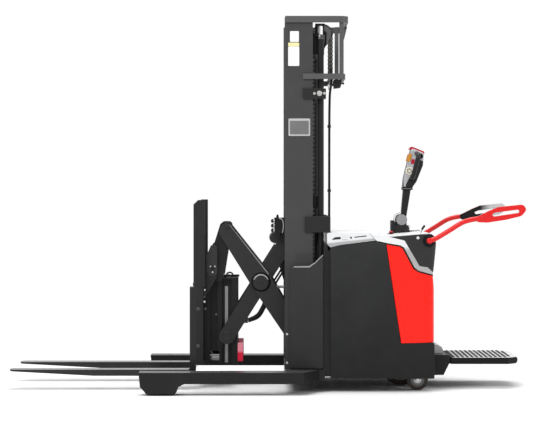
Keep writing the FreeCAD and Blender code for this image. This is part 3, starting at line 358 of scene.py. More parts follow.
def hub_disc(g):
    return g.all_of(g.under(g.from_axis(TILLER_PIVOT), 0.0325), g.over(g.away(), 0.0565))


def stop_head(g):
    return g.all_of(g.under(g.x, 0.8), g.over(g.z, 0.927))


def buffer_top(g):
    return g.over(g.z, 0.216, 0.008)


def pipe_stub(g):
    return g.all_of(g.over(g.x, 0.03), g.over(g.z, 0.596), g.under(g.z, 0.616))


def chain_round(g):
    return g.over(g.from_axis(SHEAVE), 0.0507)


def step_flats(g):
    return g.all_of(g.over(g.z, 0.1852), g.under(g.z, 0.1868), g.over(g.x, 1.112))


def valve_ports(g):
    return g.all_of(g.under(g.x, 0.0495), g.over(g.z, 0.92), g.under(g.y, -0.255))


def wheel(name, x, z, hub, tread, hub_rgb):
    """Cast hub inside a moulded tyre, with a dark groove near its rim."""
    return moulded(name, tread, 0.5, grain=300, bump=0.15, patches=(
        (lambda g: g.under(g.from_axis((x, z)), hub * MM), hub_rgb, 0.42, 0.6),
        (lambda g: g.all_of(g.under(g.from_axis((x, z)), (hub - 5) * MM),
                            g.over(g.from_axis((x, z)), (hub - 8) * MM)), DARK, 0.6, 0.0)))


TREAD = (0.03, 0.022, 0.017)
CAST = (0.16, 0.16, 0.165)

GLOSSY = dict(dust=0.0, cloudy=0.02)
ENAMEL = dict(GLOSSY, spec=0.3, peel=0.05, wear=1.1, coat=0.1, top_sheen=0.0)
SOFT = dict(grain=420, spec=0.14)

M = {
    "black": paint("coat_black", BLACK, 0.36),
    "steelwork": paint("coat_steelwork", (0.019, 0.019, 0.0195), 0.38),
    "fork": paint("coat_fork", (0.012, 0.012, 0.0125), 0.22, spec=0.3, top_sheen=0.1),
    # rail, panel and cover: fall paints shade that darkens them towards the ground
    "rail": paint("coat_rail", (0.05, 0.05, 0.051), 0.42, fall=0.35),
    # crown: paler than the rail's paint, a painted highlight for its lit face
    "crown": paint("coat_crown_lit", (0.085, 0.085, 0.086), 0.42, top_sheen=0.0),
    "panel": paint("coat_panel", (0.026, 0.0264, 0.0272), 0.4, peel=0.2, grain=420,
                   cloudy=0.16, fall=0.8, top_sheen=0.05),
    "cover": paint("coat_cover", (0.032, 0.032, 0.033), 0.42, peel=0.15, grain=420, fall=0.5,
                   patches=((cover_top_highlight, (0.3, 0.3, 0.3), 0.4, 0.0),)),
    "red": paint("coat_red", RED, 0.28, peel=0.02, wear=0, coat=0.05, top_sheen=0.0, **GLOSSY),
    "silver": paint("coat_silver", PALE, 0.32, **ENAMEL, patches=(
        (lower_band_shade, (0.36, 0.36, 0.355), 0.34, 0.0),)),
    "lid": paint("coat_lid", (0.7, 0.705, 0.71), 0.32, **ENAMEL, patches=(
        (lid_flange_shade, (0.36, 0.36, 0.365), 0.34, 0.0),
        (lid_recess_shade, (0.03, 0.03, 0.03), 0.5, 0.0))),
    "plastic": moulded("moulded_dark", DARK, 0.5),
    "console": moulded("moulded_console", (0.02, 0.0203, 0.021), 0.5, patches=(
        (console_rim, (0.74, 0.745, 0.75), 0.34, 0.0),)),
    "plastic_grey": moulded("moulded_grey", (0.62, 0.625, 0.63), 0.32, bump=0.1),
    "pale": moulded("moulded_pale", (0.7, 0.7, 0.7), 0.4, bump=0.15),
    "rubber": moulded("rubber_black", (0.008, 0.008, 0.008), 0.62, **SOFT),
    "step": moulded("rubber_step", (0.007, 0.007, 0.007), 0.6, **SOFT, patches=(
        (step_flats, (0.62, 0.62, 0.63), 0.5, 0.0),)),
    # arms and outer arm: high wear gives strongly paler edges, partly wear and partly painted
    # highlight
    "arms": paint("coat_arms", (0.026, 0.026, 0.0265), 0.4, wear=3.2, patches=(
        (pipe_stub, (0.3, 0.3, 0.3), 0.4, 0.0),)),
    "outer_arm": paint("coat_outer_arm", (0.026, 0.026, 0.0265), 0.4, wear=3.2, patches=(
        (arm_edge_highlight, (0.3, 0.3, 0.3), 0.35, 0.0), (boss_groove, (0.002, 0.002, 0.002), 0.6, 0.0))),
    # cover plate and cap: high wear gives strongly paler edges, partly wear and partly painted
    # highlight; the cap's upper faces also get a strong painted highlight
    "cover_plate": paint("coat_cover_plate", (0.03, 0.03, 0.0305), 0.36, wear=6.0),
    "cap": paint("coat_cap", (0.012, 0.012, 0.0125), 0.24, spec=0.3, wear=4.0, top_sheen=0.5,
                 patches=((cap_rim_highlight, (0.34, 0.34, 0.34), 0.3, 0.0),)),
    "arm_red": paint("coat_arm_red", (0.66, 0.012, 0.012), 0.26, spec=0.3, peel=0.0, wear=0,
                     top_sheen=0.12, **GLOSSY),
    "carriage": paint("coat_carriage", (0.011, 0.011, 0.0115), 0.46, patches=(
        (valve_ports, STEEL, 0.3, 1.0),)),
    "sheaves": metal("sheave_steel", (0.16, 0.16, 0.165), 0.4, patches=(
        (chain_round, (0.05, 0.047, 0.043), 0.45, 0.8),)),
    "tiller": moulded("moulded_tiller", (0.009, 0.009, 0.0095), 0.4, patches=(
        (head_shell, (0.4, 0.4, 0.41), 0.35, 0.0),)),
    "tiller_base": moulded("moulded_base", DARK, 0.46, patches=(
        (hub_disc, (0.27, 0.27, 0.275), 0.5, 0.0),)),
    "buttons": moulded("moulded_buttons", DARK, 0.4, patches=((stop_head, RED, 0.25, 0.0),)),
    "buffers": moulded("urethane_red", (0.68, 0.01, 0.045), 0.3, bump=0.05, patches=(
        (buffer_top, (0.86, 0.26, 0.34), 0.35, 0.0),)),
    "battery": moulded("battery_case", (0.03, 0.03, 0.033), 0.55),
    "chrome": metal("chrome_rod", CHROME, 0.09, (1, 1, 0.02), 260, 0.05, 0.02),
    "steel": metal("bright_steel", (0.36, 0.36, 0.365), 0.32, (0.15, 1, 1), 200),
    "track": metal("track_steel", (0.26, 0.26, 0.265), 0.45, (0.15, 1, 1), 200),
    "silver_pipe": metal("pipe_grey", (0.42, 0.42, 0.42), 0.35, (1, 1, 1), 200, 0.1),
    "zinc": metal("zinc_plated", (0.62, 0.62, 0.6), 0.33, (1, 1, 1), 300, 0.2),
    "dark_steel": metal("dark_steel", (0.1, 0.1, 0.105), 0.36, (1, 1, 1), 90, 0.3, 0.2),
    "chain": metal("chain_oiled", (0.08, 0.076, 0.07), 0.36, (1, 1, 1), 150, 0.35, 0.15),
    "chain_pin": metal("chain_pins", (0.24, 0.235, 0.225), 0.36, (1, 1, 1), 150, 0.35, 0.1),
    "label": moulded("blank_label", (0.8, 0.8, 0.8), 0.35, bump=0.02),
    "label_head": moulded("blank_label_head", (0.76, 0.7, 0.36), 0.35, bump=0.02),
    "label_dark": moulded("blank_label_dark", (0.035, 0.035, 0.036), 0.35, bump=0.02),
    "label_metal": metal("blank_label_metal", (0.56, 0.56, 0.56), 0.35, (0.1, 1, 1), 300),
    "label_field": metal("blank_label_field", (0.2, 0.2, 0.205), 0.4, (0.1, 1, 1), 300),
    "amber": moulded("moulded_amber", (0.6, 0.24, 0.02), 0.25, bump=0.05),
    "crimson": moulded("moulded_crimson", (0.42, 0.008, 0.025), 0.25, bump=0.05),
    "pad": moulded("rubber_pad", (0.009, 0.009, 0.009), 0.55, **SOFT, patches=(
        (pad_end_highlight, (0.5, 0.5, 0.5), 0.5, 0.0),)),
    "maroon_red": moulded("moulded_stop", (0.5, 0.012, 0.012), 0.3, bump=0.05),
    "cream": moulded("moulded_cream", (0.66, 0.62, 0.52), 0.35, bump=0.05),
    "glass": moulded("display_glass", (0.01, 0.012, 0.014), 0.08, bump=0.0, spec=0.5),
    "drive_tyre": wheel("tyre_drive", 816, 115, 84, TREAD, CAST),
    "caster_tyre": wheel("tyre_caster", 895, 62, 40, TREAD, CAST),
    "load_tyre_front": wheel("tyre_load_front", -666, 41, 26, TREAD, CAST),
    "load_tyre_rear": wheel("tyre_load_rear", -551, 41, 26, TREAD, CAST),
}


def smooth_group():
    """Welds split corners and shades smooth but for edges sharper than an angle."""
    group = bpy.data.node_groups.new("skin_shading", "GeometryNodeTree")
    group.interface.new_socket("Geometry", in_out="INPUT", socket_type="NodeSocketGeometry")
    group.interface.new_socket("Geometry", in_out="OUTPUT", socket_type="NodeSocketGeometry")
    nodes, links = group.nodes, group.links
    enter, leave = nodes.new("NodeGroupInput"), nodes.new("NodeGroupOutput")
    drop = nodes.new("GeometryNodeRemoveAttribute")
    drop.inputs["Name"].default_value = "custom_normal"
    weld = nodes.new("GeometryNodeMergeByDistance")
    weld.inputs["Distance"].default_value = 0.00002
    faces = nodes.new("GeometryNodeSetShadeSmooth")
    faces.domain = "FACE"
    faces.inputs["Shade Smooth"].default_value = True
    angle = nodes.new("GeometryNodeInputMeshEdgeAngle")
    sharp = nodes.new("FunctionNodeCompare")
    sharp.data_type = "FLOAT"
    sharp.operation = "GREATER_THAN"
    sharp.inputs[1].default_value = math.radians(32)
    edges = nodes.new("GeometryNodeSetShadeSmooth")
    edges.domain = "EDGE"
    edges.inputs["Shade Smooth"].default_value = False
    links.new(enter.outputs[0], drop.inputs["Geometry"])
    links.new(drop.outputs["Geometry"], weld.inputs["Geometry"])
    links.new(weld.outputs["Geometry"], faces.inputs["Geometry"])
    links.new(faces.outputs["Geometry"], edges.inputs["Geometry"])
    links.new(angle.outputs["Unsigned Angle"], sharp.inputs[0])
    links.new(sharp.outputs["Result"], edges.inputs["Selection"])
    links.new(edges.outputs["Geometry"], leave.inputs[0])
    return group


SKIN = smooth_group()


def soften(obj, width, segments=2):
    skin = obj.modifiers.new("skin", "NODES")
    skin.node_group = SKIN
    if width:
        bevel = obj.modifiers.new("bevel", "BEVEL")
        bevel.width = width
        bevel.segments = segments
        bevel.limit_method = "ANGLE"
        bevel.angle_limit = math.radians(35)
        bevel.harden_normals = True
        bevel.use_clamp_overlap = True
        bevel.miter_outer = "MITER_ARC"


# start of the node's name, material, edge rounding in mm
LOOKS = [
    ("leg_", "black", 1.5), ("chassis_frame", "black", 1.0), ("battery_lid", "lid", 3.0),
    ("battery", "battery", 3.0), ("side_panel", "panel", 2.5), ("red_panel", "red", 2.5),
    ("mast_cover", "cover", 4.0), ("body_trim", "silver", 2.0), ("console", "console", 3.0),
    ("rear_panel", "panel", 2.0), ("platform_bracket", "black", 1.5),
    ("platform", "step", 1.2), ("step_buffer", "plastic_grey", 4.0),
    ("controls", "buttons", 1.0), ("mast_rail", "rail", 1.5), ("mast_crown", "crown", 1.2),
    ("mast_frame", "steelwork", 1.2), ("mast_band", "steelwork", 1.5), ("lift_tubes", "black", 0.8),
    ("inner_rail", "black", 1.0), ("inner_ties", "black", 1.0), ("inner_head", "black", 1.0),
    ("sheaves", "sheaves", 0.8), ("lift_rods", "chrome", 0.0), ("chain_", "chain", 0.6),
    ("mast_carriage", "carriage", 1.2), ("inner_arms", "arms", 4.0),
    ("reach_hoses", "rubber", 0.0), ("outer_arms", "arms", 1.8),
    ("fork_frame", "black", 1.2), ("buffers", "buffers", 2.5),
    ("fork_carriage", "steelwork", 1.5), ("fork_", "fork", 2.0),
    ("load_backrest", "steelwork", 1.5), ("reach_barrel", "black", 0.8),
    ("reach_rod", "chrome", 0.6), ("tilt_barrel", "black", 0.8), ("tilt_rod", "chrome", 0.5),
    ("drive_unit", "dark_steel", 1.0), ("drive_wheel", "drive_tyre", 3.0),
    ("caster_fork", "dark_steel", 0.8), ("caster_wheel", "caster_tyre", 3.0),
    ("load_wheel_front", "load_tyre_front", 2.5), ("load_wheel_rear", "load_tyre_rear", 2.5),
    ("guard_arm", "red", 1.5), ("tiller_base", "tiller_base", 2.0),
    ("tiller_arm", "tiller", 2.5),
]


def look_of(name):
    for start, material, width in LOOKS:
        if name.startswith(start):
            return M[material], width * MM
    raise KeyError(name)


for name, obj in NODES.items():
    material, width = look_of(name)
    obj.data.materials.clear()
    obj.data.materials.append(material)
    soften(obj, width)


def outline(corners, steps=6):
    """Points of a closed line; a corner (u, v, radius) is rounded by an arc."""
    points = []
    for i, corner in enumerate(corners):
        here = Vector(corner[:2])
        if len(corner) < 3:
            points.append(here)
            continue
        back = (Vector(corners[i - 1][:2]) - here).normalized()
        ahead = (Vector(corners[(i + 1) % len(corners)][:2]) - here).normalized()
        half = back.angle(ahead) / 2
        middle = here + (back + ahead).normalized() * (corner[2] / math.sin(half))
        run = corner[2] / math.tan(half)
        first, last = here + back * run - middle, here + ahead * run - middle
        start = math.atan2(first.y, first.x)
        sweep = (math.atan2(last.y, last.x) - start + math.pi) % math.tau - math.pi
        for step in range(steps + 1):
            turn = start + sweep * step / steps
            points.append(middle + corner[2] * Vector((math.cos(turn), math.sin(turn))))
    return points


PLANES = {"XZ": (0, 2, 1), "XY": (0, 1, 2), "YZ": (1, 2, 0)}


def prism(bm, plane, corners, low, high, hole=None):
    """Outline extruded across its plane, with a hole through it where one is given."""
    u, v, w = PLANES[plane]
    lines = [outline(corners)] + ([outline(hole)] if hole else [])
    levels = []
    for level in (low, high):
        rings = []
        for points in lines:
            ring = []
            for point in points:
                place = [0, 0, 0]
                place[u], place[v], place[w] = point[0] * MM, point[1] * MM, level * MM
                ring.append(bm.verts.new(place))
            rings.append(ring)
        levels.append(rings)
        if hole:
            rims = [bm.edges.new((ring[i - 1], ring[i])) for ring in rings
                    for i in range(len(ring))]
            bmesh.ops.triangle_fill(bm, use_beauty=True, use_dissolve=False, edges=rims)
        else:
            bm.faces.new(rings[0])
    for one, two in zip(*levels):
        for i in range(len(one)):
            bm.faces.new((one[i - 1], one[i], two[i], two[i - 1]))


def rounded(u0, u1, v0, v1, r):
    return [(u0, v0, r), (u1, v0, r), (u1, v1, r), (u0, v1, r)]


def block(bm, x0, x1, y0, y1, z0, z1):
    prism(bm, "XY", [(x0, y0), (x1, y0), (x1, y1), (x0, y1)], z0, z1)


def turned(bm, axis, centre, profile, segments=32, out=1):
    """Lathed solid about an axis; the profile is (radius, distance along the axis)."""
    w = "XYZ".index(axis)
    u, v = [k for k in range(3) if k != w]
    rings = []
    for radius, off in profile:
        ring = []
        for step in range(segments if radius else 1):
            turn = math.tau * (step + 0.5) / segments
            place = [c * MM for c in centre]
            place[u] += radius * math.cos(turn) * MM
            place[v] += radius * math.sin(turn) * MM
            place[w] += off * out * MM
            ring.append(bm.verts.new(place))
        rings.append(ring)
    for ring in (rings[0], rings[-1]):
        if len(ring) > 1:
            bm.faces.new(ring)
    for one, two in zip(rings, rings[1:]):
        for i in range(segments):
            quad = [one[i % len(one)], one[(i + 1) % len(one)],
                    two[(i + 1) % len(two)], two[i % len(two)]]
            bm.faces.new(list(dict.fromkeys(quad)))


def lathed(bm, place, profile, segments=32, out=1):
    """Lathed solid about a line along Y, its profile measured from the middle plane."""
    turned(bm, "Y", (place[0], 0, place[1]), profile, segments, out)


def tint(bm, since, look):
    """Gives the faces made since then another of the piece's looks."""
    bm.faces.ensure_lookup_table()
    for face in bm.faces[since:]:
        face.material_index = look


def piece(name, bm, looks, body, width=0.0):
    """Body and rounding in millimetres of a finished mesh; looks are names in M."""
    mesh = bpy.data.meshes.new(name)
    bmesh.ops.recalc_face_normals(bm, faces=bm.faces)
    bm.to_mesh(mesh)
    bm.free()
    for look in looks.split():
        mesh.materials.append(M[look])
    obj = put(name, mesh)
    soften(obj, width * MM)
    if body:
        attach(obj, body)
    return obj


def pipe(name, points, radius, look, body):
    """Bent pipe or wire along a smooth line."""
    curve = bpy.data.curves.new(name, "CURVE")
    curve.dimensions = "3D"
    curve.bevel_depth = radius * MM
    curve.bevel_resolution = 4
    curve.use_fill_caps = True
    line = curve.splines.new("NURBS")
    line.points.add(len(points) - 1)
    for point, place in zip(line.points, points):
        point.co = (place[0] * MM, place[1] * MM, place[2] * MM, 1)
    line.order_u = 3
    line.use_endpoint_u = True
    line.resolution_u = 8
    curve.materials.append(M[look])
    obj = put(name, curve)
    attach(obj, body)
    return obj


def fastened(bm, axis, place, r, out):
    """Hexagon head on its washer."""
    turned(bm, axis, place, [(r * 1.4, -0.5), (r * 1.4, r * 0.2), (r * 1.25, r * 0.3)], 20, out)
    turned(bm, axis, place, [
        (r, r * 0.2), (r, r * 0.8), (r * 0.82, r * 0.98), (0, r)], 6, out)


# by body, axis and look: X, Y, Z on the near side, radius; the far side mirrors them
BOLTS = {
    ("chassis", "Y", "zinc"): [
        (313.7, -392, 1750, 11), (284, -392, 1750, 5.5), (343, -392, 1750, 5.5),
        (124, -380, 337, 5), (124, -380, 168, 5)],
    ("fork_carriage", "Y", "dark_steel"): [
        (-402, -285, 478, 8), (-402, -285, 259, 8), (-368, -262, 548, 4), (-360, -262, 478, 6)],
    ("fork_carriage", "Y", "zinc"): [
        (-331, -243, 728, 3.5), (-305, -243, 728, 3.5), (-318, -243, 694, 3.5),
        (-364, -262, 590, 4), (-366, -262, 520, 5)],
    ("fork_frame", "Y", "dark_steel"): [(-298, -188, 440, 6)],
    ("inner_mast", "Y", "zinc"): [(340, -219, 2070, 5)],
    ("mast_carriage", "X", "zinc"): [(240, -240, 930, 7), (240, -240, 192, 7)],
}


def bolts():
    """Heads that face outward on the sides, and towards the operator on the carriage."""
    for (body, axis, look), places in BOLTS.items():
        bm = bmesh.new()
        for x, y, z, r in places:
            for side, s in SIDES:
                fastened(bm, axis, (x, -s * y, z), r, s if axis == "Y" else 1)
        piece("bolts_%s_%s" % (look, body), bm, look, body)


# leaf chain: pitch, the plates' end radius, half waist and thickness
PITCH = 25.4
LINK_R, LINK_WAIST, PLATE = 9.4, 6.6, 2.7
# places of the plates across the chain in one link and the next
LANES = ((-6.4, 0, 6.4), (-3.2, 3.2))


def chain_link(bm, low, high, y, lanes):
    """One link between two pins, its plates as figures of eight."""
    low, high = Vector(low), Vector(high)
    along = (high - low).normalized()
    across = Vector((along.y, -along.x))
    middle = (low + high) / 2
    points = []
    for centre, first in ((high, 0), (low, math.pi)):
        for step in range(7):
            turn = first + math.pi * step / 6
            points.append(centre + LINK_R * (across * math.cos(turn) + along * math.sin(turn)))
        points.append(middle - across * LINK_WAIST * math.cos(first))
    for lane in lanes:
        prism(bm, "XZ", [tuple(p) for p in points], y + lane - PLATE / 2, y + lane + PLATE / 2)


def strand(bm, places, y):
    """Leaf chain through the places of its pins."""
    for i, (low, high) in enumerate(zip(places, places[1:])):
        chain_link(bm, low, high, y, LANES[i % 2])
    before = len(bm.faces)
    for x, z in places:
        turned(bm, "Y", (x, y, z), [(3.4, -8.4), (4, -7.8), (4, 7.8), (3.4, 8.4)], 10)
    tint(bm, before, 1)


def chains():
    """Front strands from the carriage, rear ones from the mast, and those on the sheaves."""
    (sheave_x, sheave_z), lane, radius = SHEAVE, 200, 53.2
    foot, anchor = 485, 1912
    front_count = round((sheave_z - foot) / PITCH)
    rear_count = round((sheave_z - anchor) / PITCH)
    front, rear, top = bmesh.new(), bmesh.new(), bmesh.new()
    for side, s in SIDES:
        y = s * lane
        step = (sheave_z - foot) / front_count
        strand(front, [(sheave_x - radius, foot + step * i) for i in range(front_count + 1)], y)
        step = (sheave_z - anchor) / rear_count
        strand(rear, [(sheave_x + radius, anchor + step * i) for i in range(rear_count + 1)], y)
        arc = [math.pi - math.pi * i / 7 for i in range(8)]
        strand(top, [(sheave_x + radius * math.cos(a), sheave_z + radius * math.sin(a))
                     for a in arc], y)
    made = piece("chain_links_front", front, "chain chain_pin", None)
    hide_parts("chain_front")
    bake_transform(made)
    made = piece("chain_links_rear", rear, "chain chain_pin", None)
    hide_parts("chain_rear")
    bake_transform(made)
    piece("chain_links_top", top, "chain chain_pin", "inner_mast")


# name, look, x0, x1, z0, z1, outward distance of the surface from the middle
LABELS = [
    ("label_upper", "label", 141, 193, 2053, 2116, 380),
    ("label_lower", "label", 130, 195, 1912, 2026, 380),
    ("label_band", "label_head", 130, 195, 2027, 2049, 380),
    ("data_plate", "label_metal", 132, 259, 1501, 1603, 380),
    ("data_field", "label_field", 140, 251, 1510, 1590, 380.7),
    ("label_shade", "label_dark", 171, 268, 751, 812, 380),
]


def labels():
    for name, look, x0, x1, z0, z1, y in LABELS:
        bm = bmesh.new()
        prism(bm, "XZ", rounded(x0, x1, z0, z1, 5), -y - 0.7, -y + 0.2)
        if look == "label_metal":
            for x in (x0 + 7, x1 - 7):
                for z in (z0 + 7, z1 - 7):
                    turned(bm, "Y", (x, -y - 0.7, z), [(2.4, -0.2), (2.4, 0.5), (1.2, 1.1)], 10, -1)
        piece(name, bm, look, "chassis", 0.2)


def mast_fittings():
    """Hose and pipe with their clips behind the near rail, limit switch and rod glands."""
    lane = -300
    pipe("mast_hose", [(388, lane, 1835.4), (384, lane, 1800), (375, lane, 1740),
                       (374, lane, 1400), (374, lane, 1100), (373.4, lane, 1028.2)],
         7, "rubber", "chassis")
    inner = lane + 22
    pipe("mast_pipe", [(389, inner, 1835.4), (386, inner, 1790), (372.6, inner, 1735),
                       (372.6, inner, 1400), (372.6, inner, 1100), (372.6, inner, 1028.2)],
         4, "zinc", "chassis")
    bm = bmesh.new()
    for z in (1560, 1180):
        prism(bm, "XZ", rounded(364, 384, z - 9, z + 9, 4), lane - 10, lane + 32)
    piece("hose_clamps", bm, "plastic", "chassis", 1.0)
    bm = bmesh.new()
    prism(bm, "XZ", [(398, 1780, 4), (440, 1786, 8), (446, 1835.5), (398, 1835.5)], -332, -306)
    turned(bm, "Y", (408, -332, 1806), [(6, -0.4), (6, 5), (4.6, 6.4)], 16, -1)
    turned(bm, "X", (446, -319, 1812), [(4, -8), (4, 7), (7, 8), (7, 12), (4, 15), (0, 15.6)], 16)
    piece("limit_switch", bm, "plastic", "chassis", 1.2)
    bm = bmesh.new()
    for side, s in SIDES:
        turned(bm, "Z", (321, s * 330, 2099), [
            (20, -30), (24, -28), (24, -3), (22, 0.6), (14.4, 0.6)], 32)
    piece("rod_glands", bm, "dark_steel", "chassis")


def anchor_nuts():
    """Threaded ends of the chain anchors: the rear ones on the mast, the front on the carriage."""
    for name, body, x, z, nut, stud in (("rear", "chassis", 390, 1835, 14, 20),
                                        ("front", "mast_carriage", 282, 470, 12, 18)):
        bm = bmesh.new()
        for side, s in SIDES:
            turned(bm, "Z", (x, s * 200, z), [(9, -nut), (9, 0.4)], 6)
            turned(bm, "Z", (x, s * 200, z - nut), [(5, -stud), (5, 0.4)], 16)
        piece(name + "_anchor_nuts", bm, "zinc", body)


# outline of an outer arm with rounding radii: knee end, crossing, foot, crossing, knee end
ARM_LINE = [(-221, 983, 26), (27.4, 671.9, 160), (238, 296, 45), (160, 247, 45),
            (-80.6, 604.1, 160), (-285, 933, 34), (-259, 985, 30)]


def outer_arms():
    """Outer arms, deepest where they cross the inner ones, with pins, bosses and rollers."""
    bm = bmesh.new()
    for side, s in SIDES:
        prism(bm, "XZ", ARM_LINE, s * 222, s * 246)
        lathed(bm, CROSSING, [
            (55, 245), (55, 249.4), (53.4, 251), (52, 251), (51, 254), (48, 255), (20, 255)],
            48, s)
        lathed(bm, KNEE, [(13.4, 192), (14, 192.8), (14, 249), (13, 250)], 32, s)
        lathed(bm, OUTER_FOOT, [
            (12, 245), (18, 245), (18, 250), (23.4, 251), (24, 251.8), (24, 269), (23, 270),
            (12, 270), (12, 271)], 40, s)
    lathed(bm, CROSSING, [(17, -223), (17, 223)], 32)
    made = piece("outer_arms_shaped", bm, "outer_arm", "outer_arms", 1.8)
    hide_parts("outer_arms")


# cover plate of the tilt hanger
HANGER = [(-327.5, 855, 8), (-293, 856, 8), (-290, 795, 30), (-290, 672, 22), (-353, 672, 22),
          (-355, 791, 30)]


def reach_fittings():
    """Roller tracks, lifting loops, arm caps, tilt covers and the valve's ports and pipe."""
    bm = bmesh.new()
    for side, s in SIDES:
        for z0, z1 in ((150, 262), (358, 606)):
            block(bm, -246, -228, s * 156.2, s * 157.4, z0, z1)
    piece("roller_tracks", bm, "track", "fork_frame")
    for side, s in SIDES:
        pipe("lifting_loop_" + side, [
            (-244, s * 167, 656), (-242, s * 167, 668), (-224, s * 167, 676),
            (-206, s * 167, 668), (-204, s * 167, 656)], 5, "steelwork", "fork_frame")
    bm = bmesh.new()
    for side, s in SIDES:
        lathed(bm, CROSSING, [
            (47, 254), (47, 256.2), (44.6, 258), (40, 258.4), (10, 258.4), (9, 260), (0, 260.4)],
            48, s)
        lathed(bm, KNEE, [
            (14, 249), (13.4, 251), (11, 251.6), (5, 251.6), (4.4, 253), (0, 253.2)], 32, s)
    piece("arm_caps", bm, "cap", "outer_arms")
    bm = bmesh.new()
    for side, s in SIDES:
        lathed(bm, INNER_FOOT, [
            (28, 216), (28, 218.6), (26, 220), (12, 220), (11, 218.6), (0, 218.6)], 40, s)
    piece("foot_caps", bm, "cap", "inner_arms")
    covers, strips = bmesh.new(), bmesh.new()
    for side, s in SIDES:
        prism(covers, "XZ", HANGER, s * 239, s * 243)
        block(strips, -385, -335, s * 189, s * 192, 165, 580)
    piece("tilt_covers", covers, "cover_plate", "fork_carriage", 1.2)
    piece("carriage_strips", strips, "black", "fork_carriage", 0.8)
    lane = -288
    pipe("valve_pipe", [(78, lane, 1016), (96, lane, 1012), (104, lane, 990),
                        (104, lane, 955), (98, lane, 930)], 4.5, "silver_pipe", "mast_carriage")
    bm = bmesh.new()
    for z in (1000, 972, 944):
        turned(bm, "X", (44, -272, z), [
            (11, 1), (12, -1), (12, -8), (9, -13), (4, -15), (0, -15.2)], 24)
    for x, z in ((68, 1020), (118, 1020)):
        turned(bm, "Z", (x, -272, z), [(9, -0.5), (9, 8), (7, 10), (7, 15), (4, 18), (0, 18.4)], 6)
    piece("valve_fittings", bm, "black", "mast_carriage")
    pipe("hose_sleeve", [(2, -205, 559.2), (-5, -205, 502), (-46, -205, 428),
                         (-106, -205, 405)], 12, "rubber", "inner_arms")


def body_fittings():
    """Lid pull and dot, console hole, guard pivot rings, display and key."""
    bm = bmesh.new()
    for side, s in SIDES:
        prism(bm, "XZ", [(442, 894, 5), (474, 896, 5), (474, 909, 5), (442, 907, 5)],
              s * 429.5, s * 437)
    piece("lid_pulls", bm, "pale", "chassis", 1.5)
    bm = bmesh.new()
    for side, s in SIDES:
        turned(bm, "Y", (497, s * 430, 905), [(5.5, -0.6), (5.5, 1), (4, 2), (0, 2.2)], 20, s)
        lathed(bm, GUARD_PIVOT, [
            (29.6, 426.2), (29.6, 433.2), (31, 437.2), (35, 437.2), (38, 434.2),
            (38.6, 430.2), (38.6, 426.2)], 48, s)
    piece("pivot_rings", bm, "rubber", "chassis")
    bm = bmesh.new()
    for side, s in SIDES:
        turned(bm, "Y", (888, s * 430, 904), [
            (8.5, -0.6), (8.5, 1.2), (6.5, 1.8), (5.5, 0.4), (0, 0.4)], 24, s)
    piece("console_plugs", bm, "pale", "chassis")
    bm = bmesh.new()
    prism(bm, "XY", rounded(886, 946, 95, 215, 8), 929, 934)
    piece("display_frame", bm, "plastic", "chassis", 1.2)
    bm = bmesh.new()
    prism(bm, "XY", rounded(892, 939, 103, 207, 4), 933.4, 934.6)
    piece("display", bm, "glass", "chassis", 0.3)
    bm = bmesh.new()
    turned(bm, "Z", (912, -150, 930.6), [
        (15, -1), (15, 3), (13, 5), (9, 5), (8.6, 3), (0, 3)], 28)
    block(bm, 910.6, 913.4, -157, -143, 933, 948)
    piece("key_switch", bm, "zinc", "chassis")


def controls():
    """Red stop button and the small lever on the console, of the looks dark, red and steel."""
    bm = bmesh.new()
    turned(bm, "Z", (742, -250, 0), [(17, 919), (17, 923), (13, 925), (11, 925)], 32)
    turned(bm, "Z", (742, -250, 0), [
        (8, 924), (8, 929), (12, 931), (13, 934), (12, 937), (8, 939.4), (0, 940)], 32)
    for face in bm.faces:
        if face.calc_center_median().z > 0.9285:
            face.material_index = 1
    for look, (x0, x1, z0, z1, r) in zip((2, 0), LEVER):
        low, high = Vector((x0, z0)), Vector((x1, z1))
        out = (high - low).normalized().orthogonal() * r
        before = len(bm.faces)
        corners = [low + out, high + out, high - out, low - out]
        prism(bm, "XZ", [tuple(corner) + (r * 0.6,) for corner in corners], -290 - r, -290 + r)
        tint(bm, before, look)
    made = piece("console_controls", bm, "plastic maroon_red steel", "chassis", 1.0)
    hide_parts("controls")


# lever: shaft and grip as x0, x1, z0, z1, half width
LEVER = [(916, 926, 924, 952, 3), (922, 940, 948, 974, 6)]

# guard arm from its pivot: distance of its middle from the truck's, bar's radius and centre
# line, paddle, the paddle's slot and its pad strip
GUARD_Y, GUARD_R = 452, 14.5
GUARD_TUBE = [(0, 0), (35, 12), (110, 56), (184, 102), (232, 119), (282, 128), (318, 136)]
PADDLE = [(270, 136, 6), (346, 174, 30), (398, 196, 40), (542, 211, 26), (568, 184, 22),
          (536, 144, 40), (446, 122, 60), (334, 105, 40), (278, 108, 10)]
PADDLE_SLOT = [(358, 150, 8), (376, 141, 8), (518, 162, 8), (527, 172, 8), (515, 181, 8),
               (376, 163, 8)]
PADDLE_PAD = [(284, 130, 4), (346, 164, 20), (398, 184, 30), (498, 197, 6), (498, 183, 6),
              (398, 168, 30), (346, 148, 20), (290, 116, 4)]
# the pad's place among the guard arm's looks, and the dome over the arm's pin
PAD = 1
PIVOT_DOME = [(0, 466.6), (12.3, 466.6), (12.3, 445), (17, 445), (17, 462), (15, 467.4),
              (10, 470), (0, 470.8)]


